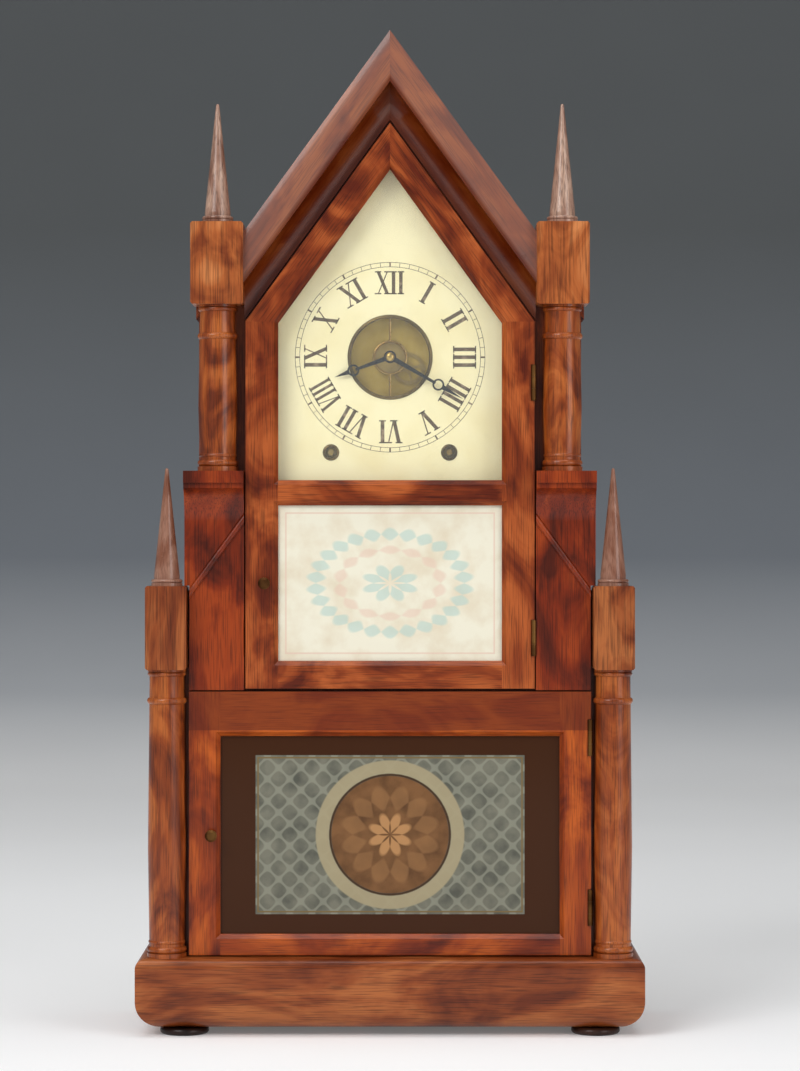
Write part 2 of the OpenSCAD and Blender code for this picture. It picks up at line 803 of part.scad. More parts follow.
// Gear teeth are thin and blunt, with plenty of backlash, and a gap faces gap_at
module toothed(n, m, gap_at) {
    r = n * m / 2;
    step = 360 / n;
    polygon([for (i = [0:n - 1], k = [[-0.27, -1.1], [-0.1, 0.75], [0.1, 0.75], [0.27, -1.1]])
        polar(r + k[1] * m, gap_at + (i + 0.5 + k[0]) * step)]);
}

module crossings(r_out, r_in, spokes, arm) {
    difference() {
        circle(r_out);
        circle(r_in);
        for (i = [0:spokes - 1]) rotate(i * 360 / spokes + 15)
            translate([-arm / 2, 0]) square([arm, r_out + 1]);
    }
}

module gear(at, n, m, y0, t, bore_r, gap_at, spokes = 5) {
    r = n * m / 2;
    slab(y0, y0 + t) translate(at) difference() {
        toothed(n, m, gap_at);
        crossings(r - 4 * m, max(bore_r + 2.2, r * 0.2), spokes, r * 0.13);
        if (bore_r > 0) circle(bore_r);
    }
}

// A lantern pinion: wires on a circle between two collets, which clear a wheel of thickness t at y
module lantern(at, leaves, m, y, t, pin_at) {
    r = leaves * m / 2;
    y0 = y - collet_gap;
    y1 = y + t + collet_gap;
    for (i = [0:leaves - 1])
        rod_y(at + polar(r, pin_at + i * 360 / leaves), m * 0.45, y0 - 0.5, y1 + 0.5);
    rod_y(at, r + m, y0 - 1.2, y0);
    rod_y(at, r + m, y1, y1 + 1.2);
}

// An arbor held between the plates on thin pivots
module pivoted_arbor(at, r) {
    rod_y(at, r, plate_in_front + end_shake, plate_in_back - end_shake);
    rod_y(at, fine_pivot_r, plate_front_y, plate_back_y);
}

// Wheel planes, behind the front plate
main_y = plate_in_front + 5;
ratchet_y = main_y + 2.6;
second_y = main_y + 5.6;
drum_y = main_y + 9;
drum_back_y = plate_in_back - 4;
center_y = main_y + 12.2;
pin_y = main_y + 16.2;
third_y = main_y + 20.2;
warning_y = main_y + 22.2;
escape_y = plate_in_front + 2.6;
wheel_t = 1.5;
main_wheel_t = 2;

module power_drum(at) {
    square_w = 4.4;
    rod_y(at, arbor_r, plate_in_front + end_shake, plate_in_back - end_shake);
    rod_y(at, arbor_r - run_fit, plate_front_y - 1, plate_in_front + 1);
    rod_y(at, pivot_r, plate_in_back - 1, plate_back_y);
    slab(dial_y - 3, plate_front_y - 0.5) translate(at) rotate(20) square(square_w * 0.78, center = true);
    slab(ratchet_y, ratchet_y + 1.5) translate(at) polygon([for (i = [0:15], k = [[0, 13], [0.9, 10.4]])
        polar(k[1], (i + k[0]) * 22.5)]);
    rod_y(at, drum_r, drum_y + 1, drum_back_y - 1);
    rod_y(at, drum_r + 4, drum_y, drum_y + 1.6);
    rod_y(at, drum_r + 4, drum_back_y - 1.6, drum_back_y);
    for (s = [-1, 1]) translate([at[0], power_y + s * 3.2, at[1]]) rotate([90, 0, 0])
        rotate_extrude() translate([drum_r + 0.2, 0]) circle(cord_dia / 2 - 0.3, $fn = 24);
}

module time_drum() {
    color(brass) power_drum(wind_at);
}

module strike_drum() {
    color(brass) mirror([1, 0, 0]) power_drum(wind_at);
}

// A great wheel, free on the arbor, with its click on one arm beside the ratchet
module main_wheel(at, gap_at) {
    arm_at = 33;
    gear(at, main_teeth, great_module, main_y, main_wheel_t, arbor_r + run_fit, gap_at);
    slab(main_y + 1.9, ratchet_y + 1.5) translate(at) {
        translate(polar(18, arm_at)) circle(2.3);
        polygon([polar(20.2, arm_at), polar(15.8, arm_at),
            polar(13.7, arm_at + 24), polar(15.2, arm_at + 26)]);
    }
}

module time_main_wheel() {
    color(brass) main_wheel(wind_at, bearing(wind_at, second_at));
}

module strike_main_wheel() {
    color(brass) main_wheel(strike_wind_at, bearing(strike_wind_at, pin_wheel_at));
}

module second_wheel() {
    color(brass) {
        gear(second_at, second_teeth, great_module, second_y, wheel_t, 0, bearing(second_at, center_at));
        lantern(second_at, low_leaves, great_module, main_y, main_wheel_t, bearing(second_at, wind_at));
        pivoted_arbor(second_at, 1.9);
    }
}

module center_wheel() {
    color(brass) {
        gear(center_at, center_teeth, center_module, center_y, wheel_t, 0, bearing(center_at, third_at));
        lantern(center_at, center_leaves, great_module, second_y, wheel_t,
            bearing(center_at, second_at));
        pivoted_arbor(center_at, 2.2);
        rod_y(center_at, pivot_r, dial_y - 6, plate_in_front + 1);
    }
}

module third_wheel() {
    color(brass) {
        gear(third_at, third_teeth, third_module, third_y, wheel_t, 0, bearing(third_at, escape_at));
        lantern(third_at, high_leaves, center_module, center_y, wheel_t, bearing(third_at, center_at));
        pivoted_arbor(third_at, 1.3);
    }
}

module escape_wheel() {
    color(brass) {
        slab(escape_y, escape_y + 1) translate(escape_at) difference() {
            polygon([for (i = [0:escape_teeth - 1], k = [[0, 13.6], [0.62, 17], [0.74, 17], [0.8, 13.6]])
                polar(k[1] * escape_r / 17, (i + k[0]) * 360 / escape_teeth)]);
            crossings(escape_r * 0.7, 3.4, 4, 2);
        }
        lantern(escape_at, high_leaves, third_module, third_y, wheel_t, bearing(escape_at, third_at));
        pivoted_arbor(escape_at, 1);
    }
}

// Verge: a bent steel strip over the escape wheel, with the crutch wire in front of the plate
module verge() {
    strip_r = 11.5;
    color(iron) {
        slab(escape_y - 0.5, escape_y + 1.5) translate(verge_at) {
            difference() {
                translate([0, -9]) circle(strip_r);
                translate([0, -9]) circle(strip_r - 1.6);
                translate([-20, -40]) square([40, 34]);
            }
            translate([-1.2, -0.5]) square([2.4, 2.6]);
            circle(2.4);
        }
        rod_y(verge_at, verge_r, plate_front_y - 2.6, plate_in_back - end_shake);
        slab(plate_front_y - 2.4, plate_front_y - 1.2) translate(verge_at) {
            circle(2);
            translate([-0.7, -27]) square([1.4, 27]);
        }
        for (s = [-1, 1]) box([verge_at[0] + s * 2 - 0.5, pendulum_y - 2, verge_at[1] - 27.6],
            [verge_at[0] + s * 2 + 0.5, plate_front_y - 1.2, verge_at[1] - 26]);
        box([verge_at[0] - 2.5, plate_front_y - 2.4, verge_at[1] - 27.6],
            [verge_at[0] + 2.5, plate_front_y - 1.2, verge_at[1] - 26]);
    }
}

// Pendulum: a suspension spring, a wire rod that rings the hands' arbor, a bob and its nut
module pendulum() {
    ring_r = 11;
    wire = 0.8;
    color(brass) {
        box([-1.6, pendulum_y - 0.3, verge_at[1] - 22], [1.6, pendulum_y + 0.3, verge_at[1] + 2.4]);
        translate([0, pendulum_y, dial_z + ring_r - 0.2])
            cylinder(r = wire, h = verge_at[1] - 20 - dial_z - ring_r);
        translate([0, pendulum_y, dial_z]) rotate([90, 0, 0]) rotate_extrude($fn = 72)
            translate([ring_r, 0]) circle(wire, $fn = 24);
        translate([0, pendulum_y, bob_z - bob_dia / 2 - 8])
            cylinder(r = wire, h = dial_z - ring_r + 0.2 - bob_z + bob_dia / 2 + 8);
        translate([0, pendulum_y, bob_z]) rotate([90, 0, 0]) rotate_extrude($fn = 96) bob_half();
        translate([0, pendulum_y, bob_z - bob_dia / 2 - 5]) cylinder(r = 3, h = 3);
    }
}

// Half of the bob's section: a flat lens with a rounded rim
module bob_half() {
    rim = 2;
    polygon([[0, -4], [bob_dia * 0.2, -3.8], [bob_dia * 0.36, -3], [bob_dia / 2 - rim, -rim],
        [bob_dia / 2 - rim, rim], [bob_dia * 0.36, 3], [bob_dia * 0.2, 3.8], [0, 4]]);
    translate([bob_dia / 2 - rim, 0]) circle(rim, $fn = 24);
}

module pin_wheel() {
    color(brass) {
        gear(pin_wheel_at, pin_teeth, center_module, pin_y, wheel_t, 0, bearing(pin_wheel_at, warning_at));
        for (i = [0:7]) rod_y(pin_wheel_at + polar(pin_teeth * center_module / 2 - 3, i * 45 + 22), 0.9,
            pin_y + 1, pin_y + 5.6);
        lantern(pin_wheel_at, low_leaves, great_module, main_y, main_wheel_t,
            bearing(pin_wheel_at, strike_wind_at));
        pivoted_arbor(pin_wheel_at, 1.9);
    }
}

module warning_wheel() {
    color(brass) {
        gear(warning_at, warning_teeth, third_module, warning_y, wheel_t, 0, bearing(warning_at, fly_at));
        lantern(warning_at, high_leaves, center_module, pin_y, wheel_t,
            bearing(warning_at, pin_wheel_at));
        pivoted_arbor(warning_at, 1.2);
    }
}

module fly() {
    color(brass) {
        lantern(fly_at, high_leaves, third_module, warning_y, wheel_t, bearing(fly_at, warning_at));
        pivoted_arbor(fly_at, 1);
        slab(plate_in_front + 2, plate_in_front + 14) translate(fly_at) rotate(25)
            square([26, 0.8], center = true);
        rod_y(fly_at, 1.8, plate_in_front + 2, plate_in_front + 14);
    }
}

// Hammer: its tail waits below the pins, its head over the gong's shoulder
module hammer() {
    arm_y = plate_back_y + 2;
    lie = 45;
    coil_r = gong_r - gong_step * (180 + lie) / 360;
    head_r = 4;
    head_len = 11;
    head_from = coil_r + 1.2;
    head_mid = gong_at + polar(head_from + head_len / 2, lie);
    tail_to = pin_wheel_at + polar(pin_teeth * center_module / 2 + 0.2, bearing(pin_wheel_at, hammer_at));
    color(iron) {
        rod_y(hammer_at, hammer_r, plate_in_front + end_shake, arm_y + 2.5);
        rod_y(hammer_at, fine_pivot_r, plate_front_y, plate_in_front + 1);
        rod_y(hammer_at, 3, arm_y, arm_y + 2.5);
        rod_y(hammer_at, 2.8, pin_y + 3, pin_y + 6.5);
        slab(pin_y + 4.3, pin_y + 5.5) translate(hammer_at) rotate(bearing(hammer_at, tail_to))
            translate([0, -0.8]) square([norm(tail_to - hammer_at), 1.6]);
        translate([hammer_at[0], arm_y + 1.2, hammer_at[1]])
            rotate([0, 90 - bearing(hammer_at, head_mid), 0])
                cylinder(r = 1.1, h = norm(head_mid - hammer_at));
        rod_y(head_mid, 1.5, arm_y, gong_y);
        translate([gong_at[0], gong_y, gong_at[1]]) rotate([0, 90 - lie, 0]) translate([0, 0, head_from])
            cylinder(r = head_r, h = head_len);
    }
}

// Gong: one flat spiral of wire, its inner end held in the block
function gong_point(a) = let (r = gong_r - gong_wire / 2 - gong_step * a / 360)
    [gong_at[0] + r * cos(a + 180), gong_y, gong_at[1] + r * sin(a + 180)];

gong_sides = 6;
gong_rings = 24 * gong_turns;
gong_gap = gong_step * cos(180 / gong_sides) - gong_wire;
echo(str("least gap between the turns of the gong, mm: ", gong_gap));

module gong_coil() {
    pts = [for (i = [0:gong_rings], k = [0:gong_sides - 1])
        let (a = i * 360 * gong_turns / gong_rings, c = gong_point(a), s = k * 360 / gong_sides,
            w = gong_wire / 2)
        c + [w * cos(s) * cos(a + 180), w * sin(s), w * cos(s) * sin(a + 180)]];
    n = gong_sides;
    faces = concat(
        [for (i = [0:gong_rings - 1], k = [0:n - 1]) each [
            [i * n + k, (i + 1) * n + k, (i + 1) * n + (k + 1) % n],
            [i * n + k, (i + 1) * n + (k + 1) % n, i * n + (k + 1) % n]]],
        [[for (k = [0:n - 1]) k], [for (k = [n - 1:-1:0]) gong_rings * n + k]]);
    color(iron) polyhedron(pts, faces);
}

module gong_block() {
    end_r = gong_r - gong_wire / 2 - gong_step * gong_turns;
    color(iron) difference() {
        union() {
            rod_y(gong_at, 9, inner_back_y - 3, inner_back_y);
            rod_y(gong_at, 5, gong_y - 3, inner_back_y);
            box([gong_at[0] - end_r - 2, gong_y - 3, gong_at[1] - 3],
                [gong_at[0], gong_y + 3, gong_at[1] + 3]);
        }
        box([gong_at[0] - end_r - 3, gong_y - gong_wire / 2 - 0.1, gong_at[1] - 4],
            [gong_at[0] - end_r + 2, gong_y + gong_wire / 2 + 0.1, gong_at[1] + 4]);
    }
}

// Plates, pierced for every arbor
module plate_outline() {
    difference() {
        translate([-plate_half_w, plate_bottom]) square([2 * plate_half_w, plate_top - plate_bottom]);
        for (s = [-1, 1]) translate([s * plate_half_w, plate_top]) rotate(45)
            square(plate_corner, center = true);
        for (s = [-1, 1]) translate([s * (wind_at[0] - notch_in), plate_bottom]) circle(notch_r);
    }
}

module front_plate() {
    small = fine_pivot_r + run_fit;
    stud_z = verge_at[1] + 2.7;
    color(brass) {
        slab(plate_front_y, plate_in_front) difference() {
            plate_outline();
            for (p = [second_at, third_at, escape_at, pin_wheel_at, warning_at, fly_at])
                translate(p) circle(small);
            translate(center_at) circle(pivot_r + run_fit);
            translate(verge_at) circle(verge_r + run_fit);
            translate(hammer_at) circle(small);
            for (s = [-1, 1]) translate([s * wind_at[0], wind_at[1]]) circle(arbor_r);
        }
        box([-4, pendulum_y - 2, stud_z], [4, plate_front_y, stud_z + 5]);
        rod_y(minute_wheel_at, stud_r, plate_front_y - 4.4, plate_front_y + 0.5);
    }
}

module back_plate() {
    small = fine_pivot_r + run_fit;
    color(brass) {
        slab(plate_in_back, plate_back_y) difference() {
            plate_outline();
            for (p = [second_at, center_at, third_at, escape_at, pin_wheel_at, warning_at, fly_at])
                translate(p) circle(small);
            translate(hammer_at) circle(hammer_r + run_fit);
            for (s = [-1, 1]) translate([s * wind_at[0], wind_at[1]]) circle(pivot_r + run_fit);
        }
        for (p = pillar_places()) {
            rod_y(p, 3, plate_in_front, plate_in_back);
            rod_y(p, 4, plate_in_front, plate_in_front + 1.5);
            rod_y(p, 4, plate_in_back - 1.5, plate_in_back);
        }
    }
}

function pillar_places() = [for (s = [-1, 1]) each [[s * (plate_half_w - pillar_inset), dial_z + 5],
    [s * (plate_half_w - pillar_inset), plate_bottom + pillar_inset], [s * wind_x, plate_top - notch_in]]];

module movement_posts() {
    color(inner_wood) both_sides() box([post_in_x, plate_back_y, plate_bottom],
        [post_in_x + post_w, inner_back_y, plate_top - post_drop]);
}

// Leaf spring: nested arcs of steel, each a step shorter than the one above
module leaf_arc(r, half_angle) {
    translate([0, leaf_z + leaf_bend_r]) difference() {
        circle(r + leaf_t, $fn = 180);
        circle(r, $fn = 180);
        for (s = [-1, 1]) rotate(s * half_angle) translate([s > 0 ? 0 : -2 * r, -2 * r])
            square([2 * r, 4 * r]);
        translate([-2 * r, 0]) square([4 * r, 2 * r]);
    }
}

module spring_leaves() {
    full = asin(leaf_half_span / leaf_bend_r);
    color(iron) slab(spring_y - leaf_w / 2, spring_y + leaf_w / 2)
        for (i = [0:leaf_count - 1]) leaf_arc(leaf_bend_r + i * leaf_pitch, full * (1 - i * leaf_step));
}

// Bed, cap and bolts that clamp the leaves to the bottom board
module spring_bracket() {
    half = 16;
    side = leaf_w / 2 + 5;
    sag = leaf_bend_r - sqrt(pow(leaf_bend_r, 2) - half * half);
    color(iron) {
        difference() {
            box([-half, spring_y - side - 4, base_top], [half, spring_y + side + 4, leaf_z - stack_h + sag]);
            slab(spring_y - side, spring_y + side) translate([0, leaf_z + leaf_bend_r])
                circle(leaf_bend_r + stack_h + 0.2, $fn = 180);
        }
        box([-half + 4, spring_y - side - 4, leaf_z + sag + 0.2],
            [half - 4, spring_y + side + 4, leaf_z + sag + 4.5]);
        for (s = [-1, 1]) {
            translate([0, spring_y + s * side, leaf_z - stack_h]) cylinder(r = 2.5, h = stack_h + sag + 8);
            translate([0, spring_y + s * side, leaf_z + sag + 4.5]) cylinder(r = 5, h = 3.5, $fn = 6);
        }
    }
}

// Brackets on the case sides that carry the lever pins
module lever_bracket() {
    lug_t = 3;
    color(iron) {
        box([lower_inner_w - lug_t, spring_y - lug_half, lever_z - lever_foot],
            [lower_inner_w, spring_y + lug_half, lever_z + lever_foot]);
        for (y = [spring_y - lug_half, spring_y + lug_half - lug_t]) slab(y, y + lug_t) {
            translate(lever_at) circle(lug_r);
            translate(lever_at - [0, lug_r]) square([lower_inner_w - lever_x - 1, 2 * lug_r]);
        }
        rod_y(lever_at, lever_pin_r, spring_y - lug_half + 1, spring_y + lug_half - 1);
    }
}

module lever_brackets() {
    both_sides() lever_bracket();
}

// A bar in the XZ plane from a to b, round at both ends
module link(a, b, ra, rb) {
    hull() {
        translate(a) circle(ra, $fn = 32);
        translate(b) circle(rb, $fn = 32);
    }
}

// A forged lever: boss on the pin, fork under the leaf's end and a slotted tip for the cord
module power_lever() {
    bar_t = 6;
    boss = lug_half - 3.5;
    cheek_in = leaf_w / 2 + 0.7;
    color(iron) difference() {
        union() {
            rod_y(lever_at, 6, spring_y - boss, spring_y + boss);
            slab(spring_y - bar_t / 2, spring_y + bar_t / 2) link(lever_at, lever_tip + [2, -0.6], 5.5, 4);
            for (y = [spring_y - boss, spring_y + cheek_in]) slab(y, y + boss - cheek_in)
                link(lever_at, hook_at, 6, 3);
            rod_y(hook_at, hook_r, spring_y - boss + 0.5, spring_y + boss - 0.5);
            translate([lever_tip[0], 0, lever_tip[1]]) rotate([0, lever_lift, 0])
                box([-7.5, spring_y - 5.5, -3], [8.5, spring_y + 5.5, 3]);
        }
        rod_y(lever_at, lever_pin_r + run_fit, spring_y - 30, spring_y + 30);
        translate([lever_tip[0], 0, lever_tip[1]]) rotate([0, lever_lift, 0])
            box([-5.5, spring_y - cord_dia, -10], [5.5, spring_y + cord_dia, 10]);
    }
}

module time_lever() {
    power_lever();
}

module strike_lever() {
    mirror([1, 0, 0]) power_lever();
}

// A cord hangs from its drum through the lever's slot to a knot
module power_cord() {
    color([0.75, 0.68, 0.5]) {
        translate([cord_x, power_y, cord_low_z])
            cylinder(r = cord_dia / 2, h = wind_at[1] + cord_travel - cord_low_z);
        translate([cord_x, power_y, cord_low_z]) sphere(r = 3);
    }
}

module time_cord() {
    power_cord();
}

module strike_cord() {
    mirror([1, 0, 0]) power_cord();
}

// A clock hand: a tapering blade with an open ring and a pointed end
module hand_shape(len, ring) {
    circle(4.2);
    polygon([[-1.7, 0], [-0.9, len * 0.62], [0.9, len * 0.62], [1.7, 0]]);
    difference() {
        translate([0, len * 0.66]) circle(ring);
        translate([0, len * 0.66]) circle(ring - 1.2);
    }
    polygon([[-1.6, len * 0.66 + ring - 0.4], [0, len], [1.6, len * 0.66 + ring - 0.4]]);
}

module minute_hand() {
    color(iron) difference() {
        union() {
            slab(dial_y - 5.2, dial_y - 4.5) translate(center_at) rotate(-minute_angle)
                hand_shape(minute_len, 4);
            rod_y(center_at, pipe_r, dial_y - 5.6, plate_front_y - 0.4);
            slab(plate_front_y - 1.8, plate_front_y - 0.6) translate(center_at)
                toothed(minute_leaves, minute_module, bearing(center_at, minute_wheel_at));
        }
        rod_y(center_at, pivot_r + run_fit, dial_y - 10, plate_front_y + 1);
    }
}

module hour_hand() {
    hour_y = plate_front_y - 3.6;
    color(iron) difference() {
        union() {
            slab(dial_y - 3, dial_y - 2.3) translate(center_at) rotate(-hour_angle) hand_shape(hour_len, 4);
            rod_y(center_at, 3.4, dial_y - 3.2, hour_y + 1);
            slab(hour_y, hour_y + 1.2) translate(center_at)
                toothed(hour_teeth, hour_module, bearing(center_at, minute_wheel_at));
        }
        rod_y(center_at, pipe_r + run_fit, dial_y - 10, plate_front_y + 1);
    }
}

module minute_wheel() {
    at = minute_wheel_at;
    color(brass) difference() {
        union() {
            gear(at, minute_teeth, minute_module, plate_front_y - 1.8, 1.2, 0,
                bearing(at, center_at) + 5, 4);
            slab(plate_front_y - 3.8, plate_front_y - 1.2) translate(at)
                toothed(hour_leaves, hour_module, bearing(at, center_at) + 18);
        }
        rod_y(at, stud_r + run_fit, plate_front_y - 10, plate_front_y + 1);
    }
}

base_moulding();
bun_feet();
bottom_board();
lower_case_sides();
lower_face_frame();
shoulder_boards();
upper_case_sides();
roof_boards();
upper_face_frame();
gable_moulding();
lower_backboard();
upper_backboard();
shoulder_panels();
column_corbels();
lower_columns();
upper_columns();
lower_capitals();
upper_capitals();
steeples();
dial_plate();
dial_rails();
case_hinge_leaves();
spring_bracket();
spring_leaves();
lever_brackets();
front_plate();
back_plate();
movement_posts();
gong_coil();
gong_block();
upper_door_frame();
upper_door_hinge_leaves();
dial_glass();
middle_tablet();
upper_door_catch();
lower_door_frame();
lower_door_hinge_leaves();
lower_tablet();
lower_door_catch();
time_drum();
strike_drum();
time_cord();
strike_cord();
time_lever();
strike_lever();
time_main_wheel();
second_wheel();
center_wheel();
third_wheel();
escape_wheel();
verge();
pendulum();
strike_main_wheel();
pin_wheel();
warning_wheel();
fly();
hammer();
hour_hand();
minute_hand();
minute_wheel();
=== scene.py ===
import math

import bpy
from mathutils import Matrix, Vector


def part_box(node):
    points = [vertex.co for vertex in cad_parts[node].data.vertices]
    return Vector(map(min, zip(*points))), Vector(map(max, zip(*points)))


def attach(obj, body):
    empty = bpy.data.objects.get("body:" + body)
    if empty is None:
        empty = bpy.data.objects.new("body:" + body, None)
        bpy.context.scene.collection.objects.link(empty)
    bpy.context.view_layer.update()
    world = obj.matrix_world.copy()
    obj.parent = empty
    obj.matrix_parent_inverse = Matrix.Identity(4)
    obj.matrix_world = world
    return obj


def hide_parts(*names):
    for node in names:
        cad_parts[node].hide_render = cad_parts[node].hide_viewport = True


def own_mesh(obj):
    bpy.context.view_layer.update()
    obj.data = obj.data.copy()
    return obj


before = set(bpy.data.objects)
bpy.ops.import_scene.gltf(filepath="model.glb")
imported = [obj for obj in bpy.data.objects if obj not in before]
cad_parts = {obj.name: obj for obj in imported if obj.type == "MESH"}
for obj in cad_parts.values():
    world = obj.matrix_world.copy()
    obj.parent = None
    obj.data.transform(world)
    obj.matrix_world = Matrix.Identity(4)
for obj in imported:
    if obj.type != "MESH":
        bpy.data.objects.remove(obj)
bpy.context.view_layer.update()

bl_info = {
    "name": "Gothic Shelf Clock",
    "version": (1, 0, 0),
    "blender": (4, 5, 0),
    "location": "View3D > Sidebar > Clock",
    "description": "Woods, painted dial and glasses, metals, small fittings and a studio for the shelf clock",
    "category": "Object",
}

MM = 0.001
SLOPE = math.radians(54)
HOUR_NAMES = ["XII", "I", "II", "III", "IIII", "V", "VI", "VII", "VIII", "IX", "X", "XI"]

# The edge of a glass that its frame hides, and how far painted marks stand out of the dial
REBATE = 4 * MM
PAINT_LIFT = 0.06 * MM

arbor_low, arbor_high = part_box("center_wheel")
DIAL_CENTRE = Vector((0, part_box("dial_plate")[0].y, (arbor_low.z + arbor_high.z) / 2))


def on_dial(radius, angle):
    """A place on the dial's paint, with the angle clockwise from twelve."""
    return DIAL_CENTRE + Vector((radius * math.sin(angle), -PAINT_LIFT, radius * math.cos(angle)))


def srgb(red, green, blue):
    """A colour given as 0 to 255 on screen, as the linear colour that shaders use."""
    def straight(value):
        value /= 255
        return value / 12.92 if value <= 0.04045 else ((value + 0.055) / 1.055) ** 2.4
    return (straight(red), straight(green), straight(blue))


def toned(colour, *factors):
    """The colour with its red, green and blue multiplied by the factors."""
    return tuple(part * factor for part, factor in zip(colour, factors))


# Sizes and colours that a user would change

class ClockSizes(bpy.types.PropertyGroup):
    numeral_radius: bpy.props.FloatProperty(
        name="Numeral circle", description="Radius on which the numerals' middles stand",
        default=50.4 * MM, min=40 * MM, max=56 * MM, unit="LENGTH")
    numeral_height: bpy.props.FloatProperty(
        name="Numeral height", description="Height of the Roman numerals",
        default=15.6 * MM, min=8 * MM, max=20 * MM, unit="LENGTH")
    track_radius: bpy.props.FloatProperty(
        name="Minute track", description="Inner radius of the minute track",
        default=61 * MM, min=58 * MM, max=66 * MM, unit="LENGTH")
    screw_radius: bpy.props.FloatProperty(
        name="Screw head", description="Radius of the screw heads",
        default=2.6 * MM, min=1.5 * MM, max=3.5 * MM, unit="LENGTH")
    strip_width: bpy.props.FloatProperty(
        name="Glazing strip", description="Width of the strips that hold the glass",
        default=3.6 * MM, min=2 * MM, max=4 * MM, unit="LENGTH")


class ClockColours(bpy.types.PropertyGroup):
    veneer: bpy.props.FloatVectorProperty(
        name="Veneer", description="Middle tone of the mahogany veneer",
        default=srgb(138, 58, 18), size=3, subtype="COLOR", min=0, max=1)
    veneer_light: bpy.props.FloatVectorProperty(
        name="Veneer light", description="Lightest figure in the veneer",
        default=srgb(176, 88, 38), size=3, subtype="COLOR", min=0, max=1)
    veneer_dark: bpy.props.FloatVectorProperty(
        name="Veneer dark", description="Darkest figure in the veneer",
        default=srgb(92, 28, 4), size=3, subtype="COLOR", min=0, max=1)
    dial: bpy.props.FloatVectorProperty(
        name="Dial", description="Paint of the dial's ground",
        default=srgb(255, 246, 198), size=3, subtype="COLOR", min=0, max=1)
    numerals: bpy.props.FloatVectorProperty(
        name="Numerals", description="Paint of the numerals and the minute track",
        default=srgb(86, 68, 48), size=3, subtype="COLOR", min=0, max=1)
    brass: bpy.props.FloatVectorProperty(
        name="Brass", description="Aged brass of the movement",
        default=srgb(186, 160, 96), size=3, subtype="COLOR", min=0, max=1)


# Material building

